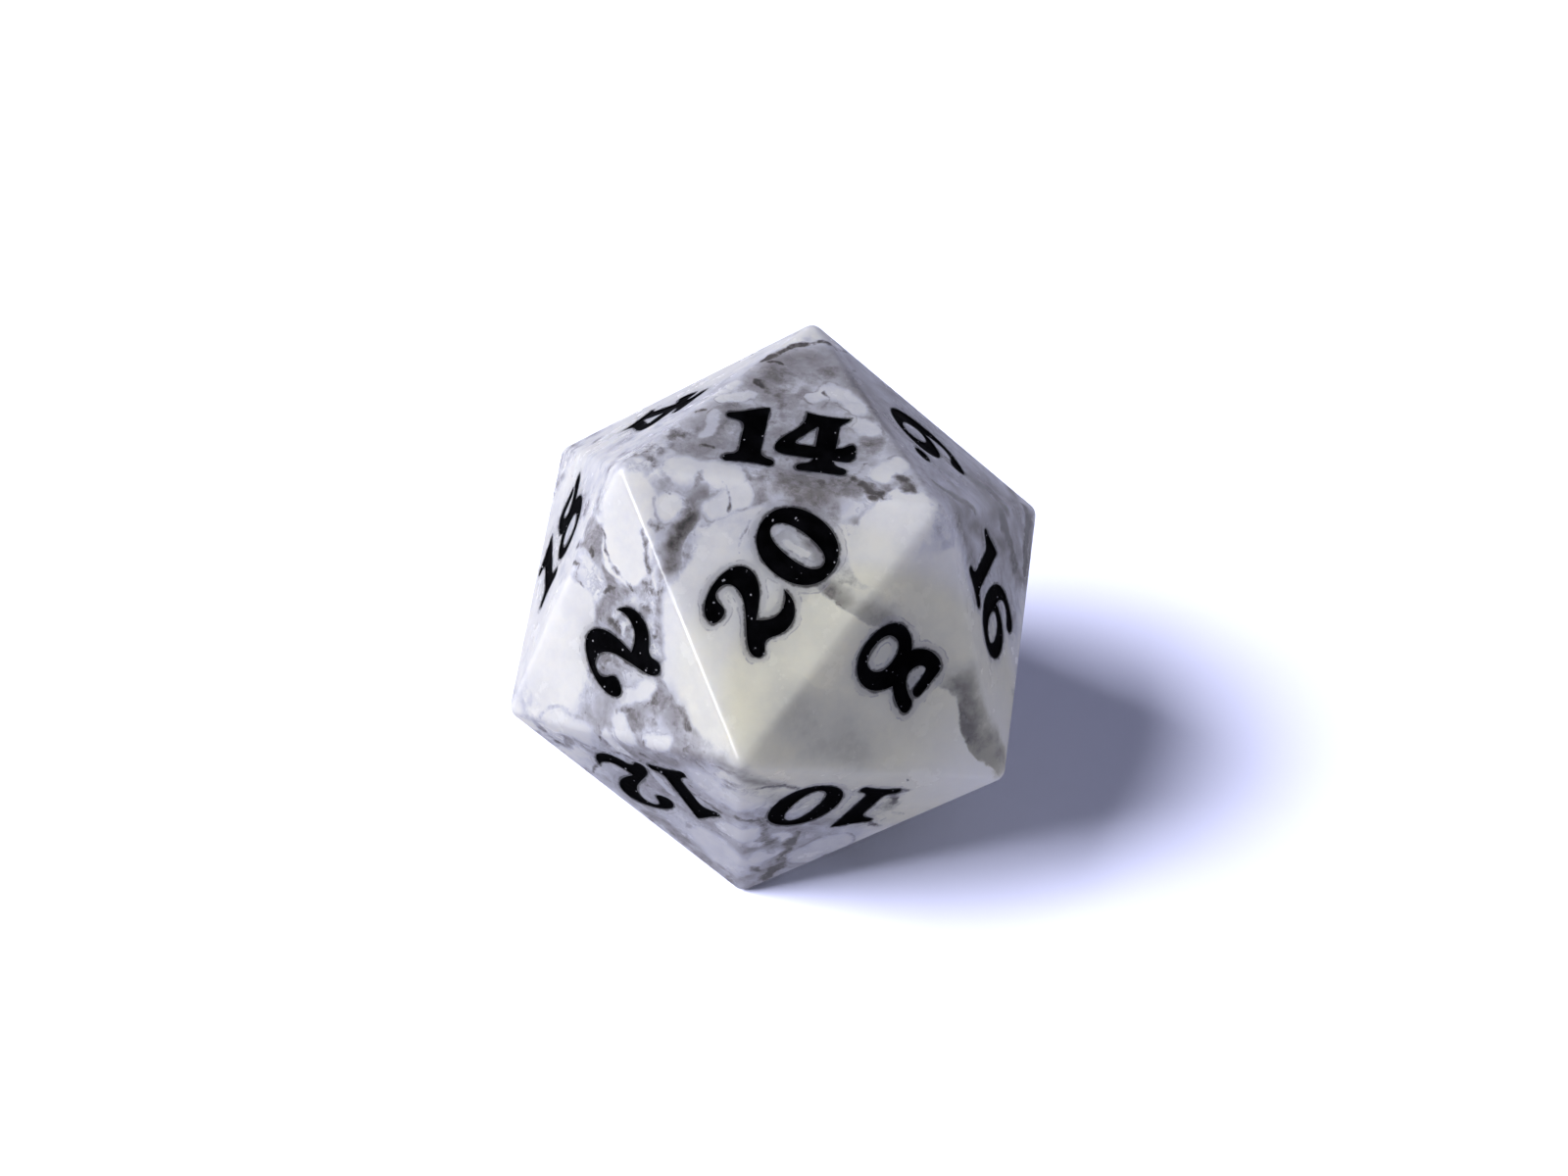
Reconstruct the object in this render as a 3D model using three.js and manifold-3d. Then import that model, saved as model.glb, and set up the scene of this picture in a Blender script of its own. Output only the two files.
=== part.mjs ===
// Twenty-sided gaming die of white veined stone, its numerals engraved and filled with black paint.
// Millimetres, +Z up. The die rests on the face numbered 7, so the face numbered 14 is on top and
// the face numbered 20 leans back above the front (-Y) side.
import * as THREE from 'three';
import { mergeVertices } from 'three/addons/utils/BufferGeometryUtils.js';
import Module from 'manifold-3d';

const wasm = await Module();
wasm.setup();

// ---------------------------------------------------------------- driving dimensions (mm)

const ACROSS_FACES = 20;            // between two opposite faces
const EDGE_RADIUS = 0.6;            // polished rounding along every edge and corner
const ROUNDING_STEPS = 2;           // facets across one rounded edge

const POCKET_DEPTH = 0.45;          // engraving below the face
const PAINT_RECESS = 0.1;           // paint surface below the face
const PAINT_CLEARANCE = 0.04;       // paint to pocket wall and pocket floor
const CUTTER_OVERSHOOT = 0.5;       // how far an engraving cutter stands proud of the face

const DIGIT_GAP = 0.3;              // between the two digits of a number
const DOT_RADIUS = 0.42;            // the dot that tells 6 from 9
const DOT_GAP = 0.08;               // between that dot and its digit
const CURVE_STEP = 0.55;            // longest straight facet along a digit outline
const DOT_FACETS = 12;

// ---------------------------------------------------------------- the twelve corners

// A regular icosahedron standing on a face: every length follows from its edge.
const GOLDEN = (1 + Math.sqrt(5)) / 2;
const FACE_DISTANCE = ACROSS_FACES / 2;
const EDGE = (FACE_DISTANCE * 2 * Math.sqrt(3)) / GOLDEN ** 2;
const FACE_CENTRE_TO_CORNER = EDGE / Math.sqrt(3);
const RING_RADIUS = FACE_CENTRE_TO_CORNER * GOLDEN;
const RING_HEIGHT = FACE_DISTANCE - FACE_CENTRE_TO_CORNER;

function corner(radius, degrees, height) {
  const angle = THREE.MathUtils.degToRad(degrees);
  return new THREE.Vector3(radius * Math.cos(angle), radius * Math.sin(angle), height);
}

const CORNERS = {
  topBack: corner(FACE_CENTRE_TO_CORNER, 90, FACE_DISTANCE),
  topLeft: corner(FACE_CENTRE_TO_CORNER, 210, FACE_DISTANCE),
  topRight: corner(FACE_CENTRE_TO_CORNER, 330, FACE_DISTANCE),
  upperRight: corner(RING_RADIUS, 30, RING_HEIGHT),
  upperLeft: corner(RING_RADIUS, 150, RING_HEIGHT),
  upperFront: corner(RING_RADIUS, 270, RING_HEIGHT),
  lowerBack: corner(RING_RADIUS, 90, -RING_HEIGHT),
  lowerLeft: corner(RING_RADIUS, 210, -RING_HEIGHT),
  lowerRight: corner(RING_RADIUS, 330, -RING_HEIGHT),
  baseRight: corner(FACE_CENTRE_TO_CORNER, 30, -FACE_DISTANCE),
  baseLeft: corner(FACE_CENTRE_TO_CORNER, 150, -FACE_DISTANCE),
  baseFront: corner(FACE_CENTRE_TO_CORNER, 270, -FACE_DISTANCE),
};

// ---------------------------------------------------------------- the twenty faces

// Each face lists its number, its three corners with the one the numeral points at first, the digit
// height, the numeral's shift from the middle of the face (to its right, then upward), and the gap
// between its digits where it isn't the usual one. Opposite faces add up to 21.
const FACES = [
  { number: 20, corners: ['topLeft', 'upperFront', 'topRight'], height: 3.5, shift: [0.25, -0.15] },
  { number: 14, corners: ['topBack', 'topLeft', 'topRight'], height: 3.85, shift: [0, -0.6], gap: -0.1 },
  { number: 2, corners: ['lowerLeft', 'topLeft', 'upperFront'], height: 3.9, shift: [-0.1, 0.1] },
  { number: 8, corners: ['lowerRight', 'upperFront', 'topRight'], height: 3.9, shift: [-0.55, -0.65] },
  { number: 12, corners: ['baseFront', 'lowerLeft', 'upperFront'], height: 3.8, shift: [0.2, -0.2] },
  { number: 10, corners: ['baseFront', 'upperFront', 'lowerRight'], height: 3.65, shift: [0.3, -0.6] },
  { number: 16, corners: ['upperRight', 'lowerRight', 'topRight'], height: 3.7, shift: [-0.4, -0.4], gap: 0 },
  { number: 6, corners: ['upperRight', 'topRight', 'topBack'], height: 3.95, shift: [-0.5, -0.1] },
  { number: 4, corners: ['upperLeft', 'topBack', 'topLeft'], height: 3.95, shift: [0, 0.4] },
  { number: 18, corners: ['upperLeft', 'topLeft', 'lowerLeft'], height: 3.8, shift: [-0.35, 0.6], gap: 0.15 },
  { number: 1, corners: ['baseRight', 'lowerBack', 'baseLeft'], height: 4, shift: [0, -0.3] },
  { number: 7, corners: ['baseFront', 'baseRight', 'baseLeft'], height: 4, shift: [0, -0.3] },
  { number: 19, corners: ['upperRight', 'lowerBack', 'baseRight'], height: 3.8, shift: [0, -0.4] },
  { number: 13, corners: ['upperLeft', 'baseLeft', 'lowerBack'], height: 3.8, shift: [0, -0.4] },
  { number: 9, corners: ['topBack', 'upperRight', 'lowerBack'], height: 4, shift: [0, -0.2] },
  { number: 11, corners: ['topBack', 'lowerBack', 'upperLeft'], height: 3.8, shift: [0, -0.4] },
  { number: 5, corners: ['lowerLeft', 'upperLeft', 'baseLeft'], height: 4, shift: [0, -0.3] },
  { number: 15, corners: ['lowerLeft', 'baseLeft', 'baseFront'], height: 3.8, shift: [0, -0.4] },
  { number: 17, corners: ['lowerRight', 'baseFront', 'baseRight'], height: 3.8, shift: [0, -0.4] },
  { number: 3, corners: ['lowerRight', 'baseRight', 'upperRight'], height: 4, shift: [0, -0.3] },
];

// ---------------------------------------------------------------- digit outlines

// Bold old-style digits drawn one unit high. The first entry of a contour is its starting point;
// after it a pair is the end of a straight side and a group of six is a cubic curve (two handles,
// then the end point). A second contour is the hole of a closed counter.
const DIGITS = {
  0: [
    [
      [0.41, 0],
      [0.66, 0, 0.82, 0.2, 0.82, 0.49],
      [0.82, 0.8, 0.65, 1, 0.42, 1],
      [0.17, 1, 0, 0.8, 0, 0.5],
      [0, 0.2, 0.17, 0, 0.41, 0],
    ],
    [
      [0.42, 0.125],
      [0.31, 0.125, 0.25, 0.25, 0.25, 0.48],
      [0.25, 0.73, 0.31, 0.875, 0.41, 0.875],
      [0.51, 0.875, 0.58, 0.74, 0.58, 0.51],
      [0.58, 0.27, 0.52, 0.125, 0.42, 0.125],
    ],
  ],
  1: [
    [
      [0.12, 0],
      [0.27, 0.03, 0.41, 0.03, 0.56, 0],
      [0.63, 0, 0.64, 0.1, 0.57, 0.12],
      [0.49, 0.14, 0.46, 0.17, 0.455, 0.24],
      [0.455, 0.84],
      [0.455, 0.92, 0.47, 0.95, 0.45, 1],
      [0.33, 0.98, 0.22, 0.88, 0.05, 0.84],
      [-0.01, 0.82, -0.01, 0.76, 0.05, 0.74],
      [0.16, 0.72, 0.215, 0.71, 0.22, 0.6],
      [0.22, 0.24],
      [0.22, 0.17, 0.19, 0.14, 0.12, 0.12],
      [0.05, 0.1, 0.05, 0, 0.12, 0],
    ],
  ],
  2: [
    [
      [0, 0.76],
      [0, 0.705, 0.05, 0.68, 0.12, 0.68],
      [0.2, 0.68, 0.23, 0.72, 0.235, 0.78],
      [0.24, 0.87, 0.28, 0.92, 0.36, 0.92],
      [0.45, 0.92, 0.505, 0.86, 0.5, 0.77],
      [0.49, 0.63, 0.38, 0.54, 0.27, 0.44],
      [0.14, 0.32, 0, 0.24, 0, 0.12],
      [0, 0.065, 0.03, 0.035, 0.08, 0.035],
      [0.15, 0.035, 0.15, 0.11, 0.23, 0.11],
      [0.31, 0.11, 0.36, 0, 0.52, 0],
      [0.68, 0, 0.82, 0.12, 0.82, 0.31],
      [0.76, 0.22, 0.68, 0.185, 0.58, 0.185],
      [0.47, 0.185, 0.4, 0.27, 0.345, 0.35],
      [0.52, 0.43, 0.765, 0.57, 0.765, 0.77],
      [0.765, 0.92, 0.6, 1, 0.42, 1],
      [0.2, 1, 0, 0.9, 0, 0.76],
    ],
  ],
  3: [
    [
      [0, 0.2],
      [0, 0.07, 0.14, 0, 0.33, 0],
      [0.58, 0, 0.74, 0.14, 0.74, 0.31],
      [0.74, 0.44, 0.66, 0.53, 0.53, 0.565],
      [0.63, 0.61, 0.69, 0.68, 0.69, 0.77],
      [0.69, 0.91, 0.54, 1, 0.34, 1],
      [0.15, 1, 0.02, 0.92, 0.02, 0.81],
      [0.02, 0.75, 0.07, 0.715, 0.13, 0.715],
      [0.2, 0.715, 0.23, 0.76, 0.235, 0.81],
      [0.24, 0.88, 0.27, 0.915, 0.33, 0.915],
      [0.41, 0.915, 0.46, 0.86, 0.46, 0.77],
      [0.46, 0.66, 0.38, 0.595, 0.24, 0.595],
      [0.24, 0.505],
      [0.42, 0.505, 0.5, 0.43, 0.5, 0.31],
      [0.5, 0.17, 0.43, 0.085, 0.32, 0.085],
      [0.25, 0.085, 0.235, 0.12, 0.235, 0.2],
      [0.235, 0.27, 0.19, 0.31, 0.12, 0.31],
      [0.05, 0.31, 0, 0.27, 0, 0.2],
    ],
  ],
  4: [
    [
      [0.31, 0],
      [0.74, 0],
      [0.82, 0, 0.83, 0.1, 0.76, 0.12],
      [0.69, 0.135, 0.655, 0.16, 0.65, 0.225],
      [0.76, 0.225],
      [0.84, 0.225, 0.87, 0.27, 0.87, 0.38],
      [0.87, 0.47, 0.86, 0.52, 0.82, 0.54],
      [0.77, 0.52, 0.74, 0.45, 0.65, 0.44],
      [0.65, 0.8],
      [0.65, 0.87, 0.74, 0.9, 0.75, 0.98],
      [0.6, 0.955, 0.44, 0.96, 0.27, 1],
      [0.28, 0.87, 0.26, 0.79, 0.18, 0.68],
      [0.1, 0.57, 0, 0.46, 0, 0.35],
      [0, 0.25, 0.08, 0.235, 0.2, 0.23],
      [0.43, 0.225],
      [0.43, 0.16, 0.38, 0.135, 0.32, 0.12],
      [0.25, 0.1, 0.25, 0, 0.31, 0],
    ],
    [
      [0.43, 0.43],
      [0.25, 0.435],
      [0.2, 0.44, 0.2, 0.47, 0.22, 0.5],
      [0.4, 0.755],
      [0.42, 0.785, 0.43, 0.77, 0.43, 0.74],
      [0.43, 0.43],
    ],
  ],
  5: [
    [
      [0, 0.2],
      [0, 0.07, 0.14, 0, 0.33, 0],
      [0.58, 0, 0.73, 0.15, 0.73, 0.34],
      [0.73, 0.53, 0.58, 0.64, 0.38, 0.64],
      [0.31, 0.64, 0.27, 0.625, 0.23, 0.61],
      [0.245, 0.79],
      [0.4, 0.77, 0.58, 0.8, 0.67, 0.99],
      [0.58, 0.97, 0.3, 0.96, 0.13, 1],
      [0.1, 0.48],
      [0.16, 0.5, 0.23, 0.55, 0.32, 0.55],
      [0.43, 0.55, 0.49, 0.46, 0.49, 0.33],
      [0.49, 0.18, 0.43, 0.085, 0.32, 0.085],
      [0.25, 0.085, 0.235, 0.12, 0.235, 0.2],
      [0.235, 0.27, 0.19, 0.31, 0.12, 0.31],
      [0.05, 0.31, 0, 0.27, 0, 0.2],
    ],
  ],
  6: [
    [
      [0, 0.38],
      [0, 0.16, 0.17, 0, 0.42, 0],
      [0.64, 0, 0.8, 0.15, 0.8, 0.36],
      [0.8, 0.54, 0.66, 0.65, 0.48, 0.65],
      [0.39, 0.65, 0.33, 0.635, 0.28, 0.605],
      [0.29, 0.75, 0.36, 0.87, 0.48, 0.87],
      [0.56, 0.87, 0.6, 0.84, 0.64, 0.8],
      [0.7, 0.74, 0.81, 0.77, 0.82, 0.87],
      [0.83, 0.97, 0.72, 1, 0.53, 1],
      [0.22, 1, 0, 0.72, 0, 0.38],
    ],
    [
      [0.45, 0.125],
      [0.36, 0.125, 0.26, 0.21, 0.26, 0.34],
      [0.26, 0.43, 0.3, 0.51, 0.38, 0.51],
      [0.48, 0.51, 0.57, 0.42, 0.57, 0.28],
      [0.57, 0.19, 0.53, 0.125, 0.45, 0.125],
    ],
  ],
  7: [
    [
      [0.19, 0],
      [0.27, 0.015, 0.35, 0.015, 0.44, 0],
      [0.42, 0.28, 0.52, 0.52, 0.74, 0.86],
      [0.74, 1],
      [0.52, 0.96, 0.3, 0.99, 0.08, 1],
      [0.06, 0.9, 0.02, 0.79, 0, 0.67],
      [0.07, 0.66],
      [0.1, 0.76, 0.17, 0.81, 0.27, 0.81],
      [0.5, 0.81],
      [0.32, 0.58, 0.18, 0.32, 0.19, 0],
    ],
  ],
  8: [
    [
      [0.37, 0],
      [0.61, 0, 0.756, 0.15, 0.756, 0.33],
      [0.756, 0.47, 0.66, 0.57, 0.56, 0.625],
      [0.64, 0.72, 0.69, 0.83, 0.7, 0.92],
      [0.705, 0.98, 0.68, 1, 0.64, 1],
      [0.56, 1, 0.545, 0.97, 0.53, 0.91],
      [0.5, 0.8, 0.41, 0.69, 0.335, 0.69],
      [0.26, 0.69, 0.18, 0.74, 0.18, 0.81],
      [0.18, 0.87, 0.3, 0.86, 0.43, 0.865],
      [0.49, 0.87, 0.52, 0.99, 0.43, 1],
      [0.14, 1],
      [0.04, 1, 0.01, 0.92, 0.01, 0.8],
      [0.01, 0.68, 0.07, 0.6, 0.13, 0.53],
      [0.05, 0.46, 0, 0.37, 0, 0.27],
      [0, 0.12, 0.15, 0, 0.37, 0],
    ],
    [
      [0.37, 0.11],
      [0.24, 0.11, 0.155, 0.16, 0.155, 0.26],
      [0.155, 0.36, 0.24, 0.42, 0.37, 0.42],
      [0.5, 0.42, 0.58, 0.36, 0.58, 0.265],
      [0.58, 0.16, 0.5, 0.11, 0.37, 0.11],
    ],
  ],
};

// Points along one contour, scaled to the digit height, with the closing point left out.
function contourPoints(contour, height) {
  const path = new THREE.Path();
  path.moveTo(contour[0][0] * height, contour[0][1] * height);
  for (const entry of contour.slice(1)) {
    const values = entry.map((value) => value * height);
    if (values.length === 2) path.lineTo(...values);
    else path.bezierCurveTo(...values);
  }
  return path.curves.flatMap((curve) => {
    const steps = curve.isLineCurve ? 1 : Math.max(2, Math.ceil(curve.getLength() / CURVE_STEP));
    return curve.getPoints(steps).slice(0, -1);
  });
}

// A 9 is the 6 turned upside down.
function digitContours(digit, height) {
  if (digit !== 9) return DIGITS[digit].map((contour) => contourPoints(contour, height));
  const contours = DIGITS[6].map((contour) => contourPoints(contour, height));
  const middle = new THREE.Vector2(outlineWidth(contours) / 2, height / 2);
  return contours.map((points) => points.map((point) => point.clone().rotateAround(middle, Math.PI)));
}

function outlineWidth(contours) {
  return Math.max(...contours[0].map((point) => point.x));
}

function dotContours() {
  const circle = new THREE.Path().absarc(DOT_RADIUS, DOT_RADIUS, DOT_RADIUS, 0, 2 * Math.PI);
  return [circle.getPoints(DOT_FACETS).slice(0, -1)];
}

// Moves a closed outline sideways, to the left of its direction of travel: into the paint.
function shrink(points, distance) {
  return points.map((point, index) => {
    const before = points[(index + points.length - 1) % points.length];
    const after = points[(index + 1) % points.length];
    const arriving = point.clone().sub(before).normalize();
    const leaving = after.clone().sub(point).normalize();
    const sideways = new THREE.Vector2(-arriving.y - leaving.y, arriving.x + leaving.x).normalize();
    const spread = Math.max(0.5, sideways.dot(new THREE.Vector2(-leaving.y, leaving.x)));
    return point.clone().addScaledVector(sideways, distance / spread);
  });
}

// ---------------------------------------------------------------- solids

function prism(contours, bottom, top) {
  const shape = new THREE.Shape(contours[0]);
  shape.holes = contours.slice(1).map((points) => new THREE.Path(points));
  const geometry = new THREE.ExtrudeGeometry(shape, { depth: top - bottom, bevelEnabled: false });
  return geometry.translate(0, 0, bottom);
}

function toManifold(geometry) {
  const bare = geometry.clone();
  bare.deleteAttribute('normal');
  bare.deleteAttribute('uv');
  const merged = mergeVertices(bare, 1e-4);
  return new wasm.Manifold(new wasm.Mesh({
    numProp: 3,
    vertProperties: merged.attributes.position.array,
    triVerts: Uint32Array.from(merged.index.array),
  }));
}

function toGeometry(manifold) {
  const mesh = manifold.getMesh();
  const geometry = new THREE.BufferGeometry();
  geometry.setAttribute('position', new THREE.BufferAttribute(mesh.vertProperties, 3));
  geometry.setIndex(new THREE.BufferAttribute(mesh.triVerts, 1));
  geometry.computeVertexNormals();
  return geometry;
}

// Where a face lies: X to the right of its numeral, Y up the numeral, Z out of the stone.
function faceFrame(face) {
  const [up, second, third] = face.corners.map((name) => CORNERS[name]);
  const centre = up.clone().add(second).add(third).divideScalar(3);
  const outward = centre.clone().normalize();
  const upward = up.clone().sub(centre).normalize();
  const rightward = upward.clone().cross(outward);
  return new THREE.Matrix4().makeBasis(rightward, upward, outward).setPosition(centre);
}

// ---------------------------------------------------------------- the stone body

// Points of the rounding that replaces one corner, between the flats of two neighbouring faces:
// row by row from the corner's own direction out to the arc that joins the two face directions.
function cornerSector(tip, firstNormal, secondNormal) {
  const crown = tip.clone().normalize();
  const centre = tip.clone().multiplyScalar((FACE_DISTANCE - EDGE_RADIUS) / FACE_DISTANCE);
  const rows = [];
  for (let row = 0; row <= ROUNDING_STEPS; row += 1) {
    const points = [];
    for (let column = 0; column <= row; column += 1) {
      const around = row === 0 ? 0 : column / row;
      const rim = firstNormal.clone().lerp(secondNormal, around).normalize();
      const direction = crown.clone().lerp(rim, row / ROUNDING_STEPS).normalize();
      points.push(centre.clone().addScaledVector(direction, EDGE_RADIUS));
    }
    rows.push(points);
  }
  return rows;
}

function triangleFacingOut(a, b, c) {
  const normal = b.clone().sub(a).cross(c.clone().sub(a));
  return normal.dot(a) > 0 ? [a, b, c] : [a, c, b];
}

function roundedIcosahedron() {
  const triangles = [];
  const flats = FACES.map((face) => {
    const names = face.corners;
    const normal = names.reduce((sum, name) => sum.add(CORNERS[name]), new THREE.Vector3()).normalize();
    return { names, normal };
  });
  const shrunk = (FACE_DISTANCE - EDGE_RADIUS) / FACE_DISTANCE;
  const onFlat = (name, normal) => {
    return CORNERS[name].clone().multiplyScalar(shrunk).addScaledVector(normal, EDGE_RADIUS);
  };

  for (const flat of flats) {
    triangles.push(triangleFacingOut(...flat.names.map((name) => onFlat(name, flat.normal))));
  }
  flats.forEach((first, index) => {
    for (const second of flats.slice(index + 1)) {
      const shared = first.names.filter((name) => second.names.includes(name));
      if (shared.length !== 2) continue;

      // the rounded edge between the two faces
      const [start, end] = shared;
      for (let step = 0; step < ROUNDING_STEPS; step += 1) {
        const near = first.normal.clone().lerp(second.normal, step / ROUNDING_STEPS).normalize();
        const far = first.normal.clone().lerp(second.normal, (step + 1) / ROUNDING_STEPS).normalize();
        triangles.push(triangleFacingOut(onFlat(start, near), onFlat(end, near), onFlat(end, far)));
        triangles.push(triangleFacingOut(onFlat(start, near), onFlat(end, far), onFlat(start, far)));
      }

      // this pair's share of the rounding at both ends of the edge
      for (const name of shared) {
        const rows = cornerSector(CORNERS[name], first.normal, second.normal);
        for (let row = 0; row < ROUNDING_STEPS; row += 1) {
          for (let column = 0; column <= row; column += 1) {
            const inner = rows[row];
            const outer = rows[row + 1];
            triangles.push(triangleFacingOut(inner[column], outer[column], outer[column + 1]));
            if (column < row) {
              triangles.push(triangleFacingOut(inner[column], outer[column + 1], inner[column + 1]));
            }
          }
        }
      }
    }
  });
  return new THREE.BufferGeometry().setFromPoints(triangles.flat());
}

// ---------------------------------------------------------------- numerals

// The digits of one number side by side, each as contours about the middle of the whole number.
function layOutNumber(face) {
  const gap = face.gap ?? DIGIT_GAP;
  const pieces = [];
  let width = 0;
  for (const character of String(face.number)) {
    const digit = Number(character);
    const contours = digitContours(digit, face.height);
    const label = face.number < 10 ? 'digit' : ['tens', 'ones'][pieces.length];
    pieces.push({ label, contours, left: width });
    width += outlineWidth(contours) + gap;
  }
  width -= gap;
  const middle = width / 2;
  if (face.number === 6 || face.number === 9) {
    pieces.push({ label: 'dot', contours: dotContours(), left: width + DOT_GAP });
  }
  for (const piece of pieces) {
    const offset = new THREE.Vector2(
      piece.left - middle + face.shift[0],
      face.shift[1] - face.height / 2,
    );
    piece.contours = piece.contours.map((points) => points.map((point) => point.clone().add(offset)));
  }
  return pieces;
}

// ---------------------------------------------------------------- materials

const stone = new THREE.MeshStandardMaterial({ color: 0xd9d8d4, roughness: 0.28, metalness: 0 });
const paint = new THREE.MeshStandardMaterial({ color: 0x0b0b0d, roughness: 0.22, metalness: 0 });

// ---------------------------------------------------------------- assembly

const die = new THREE.Group();
die.name = 'polyhedral_die';
die.position.z = FACE_DISTANCE;

let body = toManifold(roundedIcosahedron());
for (const face of FACES) {
  const frame = faceFrame(face);
  for (const piece of layOutNumber(face)) {
    const cutter = prism(piece.contours, -POCKET_DEPTH, CUTTER_OVERSHOOT).applyMatrix4(frame);
    body = body.subtract(toManifold(cutter));

    const filled = piece.contours.map((points) => shrink(points, PAINT_CLEARANCE));
    const fill = prism(filled, PAINT_CLEARANCE - POCKET_DEPTH, -PAINT_RECESS);
    const mesh = new THREE.Mesh(toGeometry(toManifold(fill)), paint.clone());
    mesh.name = `paint_${face.number}_${piece.label}`;
    mesh.applyMatrix4(frame);
    die.add(mesh);
  }
}

const bodyMesh = new THREE.Mesh(toGeometry(body), stone);
bodyMesh.name = 'die_body';
die.add(bodyMesh);

export default die;
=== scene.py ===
"""Looks for the twenty-sided stone die: polished veined stone, paint-filled numerals, studio light."""
import math

import bmesh
import bpy
import numpy as np
from mathutils import Matrix, Vector
from mathutils.geometry import delaunay_2d_cdt, interpolate_bezier


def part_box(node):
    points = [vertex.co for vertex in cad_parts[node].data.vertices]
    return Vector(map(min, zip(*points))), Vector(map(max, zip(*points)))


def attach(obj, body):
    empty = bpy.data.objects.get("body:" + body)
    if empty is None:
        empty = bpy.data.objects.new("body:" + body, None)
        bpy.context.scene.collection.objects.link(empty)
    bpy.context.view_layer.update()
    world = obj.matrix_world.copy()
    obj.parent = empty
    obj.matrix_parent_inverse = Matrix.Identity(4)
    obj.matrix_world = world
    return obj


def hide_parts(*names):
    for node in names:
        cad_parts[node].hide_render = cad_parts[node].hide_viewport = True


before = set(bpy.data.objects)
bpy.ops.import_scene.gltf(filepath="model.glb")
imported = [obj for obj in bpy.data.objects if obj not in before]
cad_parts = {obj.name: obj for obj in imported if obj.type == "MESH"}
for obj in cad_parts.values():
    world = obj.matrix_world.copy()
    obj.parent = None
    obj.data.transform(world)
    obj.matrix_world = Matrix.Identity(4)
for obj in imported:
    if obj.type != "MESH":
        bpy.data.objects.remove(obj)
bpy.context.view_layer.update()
bpy.context.scene.view_settings.view_transform = "Standard"

MM = 0.001

# ------------ driving dimensions (mm)

body_low, body_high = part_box("die_body")
FACE_DISTANCE = (body_high.z - body_low.z) / MM / 2    # middle of the die to a face
EDGE_RADIUS = 0.6            # polished rounding along every edge and corner
ROUNDING_STEPS = 8           # facets across one rounded edge
EDGE_STEPS = 26              # pieces along one edge

POCKET_DEPTH = 0.45          # engraving below the face
RIM_WIDTH = 0.3              # worn slope around the mouth of a pocket
RIM_DROP = 0.035             # how far that slope falls
PAINT_DISH = 0.05            # the paint's surface below its own edge
PAINT_CLING = 0.1            # width of the band where the paint climbs to its edge

DIGIT_GAP = 0.3              # between the two digits of most numbers
DOT_RADIUS = 0.42            # the dot that tells 6 from 9
DOT_GAP = 0.08               # and its distance from the digit
CURVE_POINTS = 60            # points on a curve before it is spaced evenly
OUTLINE_STEP = 0.09          # point spacing along a digit's outline
PLAIN_STEP = 0.5             # point spacing on plain stone
TOUCHING = 0.001             # points nearer than this are one point in the finished mesh
SAME_POINT = 1e-6            # and in the flat triangulation
INNER_TRIANGLES = 1          # the triangulation's output type: triangles inside the border
# Distances from a digit's outline at which points are placed, outside and inside it.
STONE_RINGS = (0.05, 0.12, 0.2, 0.27, 0.31, 0.4, 0.55)
PAINT_RINGS = (0.04, 0.09, 0.17, 0.28, 0.4)
RING_SHARE = 0.93            # a ring point nearer than this share of its distance is dropped
LOOSE_GAP = 0.45             # closest loose points, as a share of OUTLINE_STEP
BORDER_GAP = 0.3             # loose points keep this share of PLAIN_STEP from the border
PAINT_SINK = 0.01            # top of the paint below the worn rim
CREASE = math.radians(30)    # sharper edges than this are shaded as edges

# ------------ the twelve corners (mm)

GOLDEN = (1 + math.sqrt(5)) / 2
EDGE = FACE_DISTANCE * 2 * math.sqrt(3) / GOLDEN ** 2
FACE_CENTRE_TO_CORNER = EDGE / math.sqrt(3)
RING_RADIUS = FACE_CENTRE_TO_CORNER * GOLDEN
RING_HEIGHT = FACE_DISTANCE - FACE_CENTRE_TO_CORNER
SHRINK = (FACE_DISTANCE - EDGE_RADIUS) / FACE_DISTANCE    # from a corner to its rounding's middle


def corner(radius, degrees, height):
    angle = math.radians(degrees)
    return np.array([radius * math.cos(angle), radius * math.sin(angle), height])


# Each ring of three corners: radius, height, and the direction of each corner in degrees.
RINGS = [
    (FACE_CENTRE_TO_CORNER, FACE_DISTANCE, {"topBack": 90, "topLeft": 210, "topRight": 330}),
    (RING_RADIUS, RING_HEIGHT, {"upperRight": 30, "upperLeft": 150, "upperFront": 270}),
    (RING_RADIUS, -RING_HEIGHT, {"lowerBack": 90, "lowerLeft": 210, "lowerRight": 330}),
    (FACE_CENTRE_TO_CORNER, -FACE_DISTANCE, {"baseRight": 30, "baseLeft": 150, "baseFront": 270}),
]
CORNERS = {
    name: corner(radius, degrees, height)
    for radius, height, directions in RINGS
    for name, degrees in directions.items()
}

# ------------ the twenty faces

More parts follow.
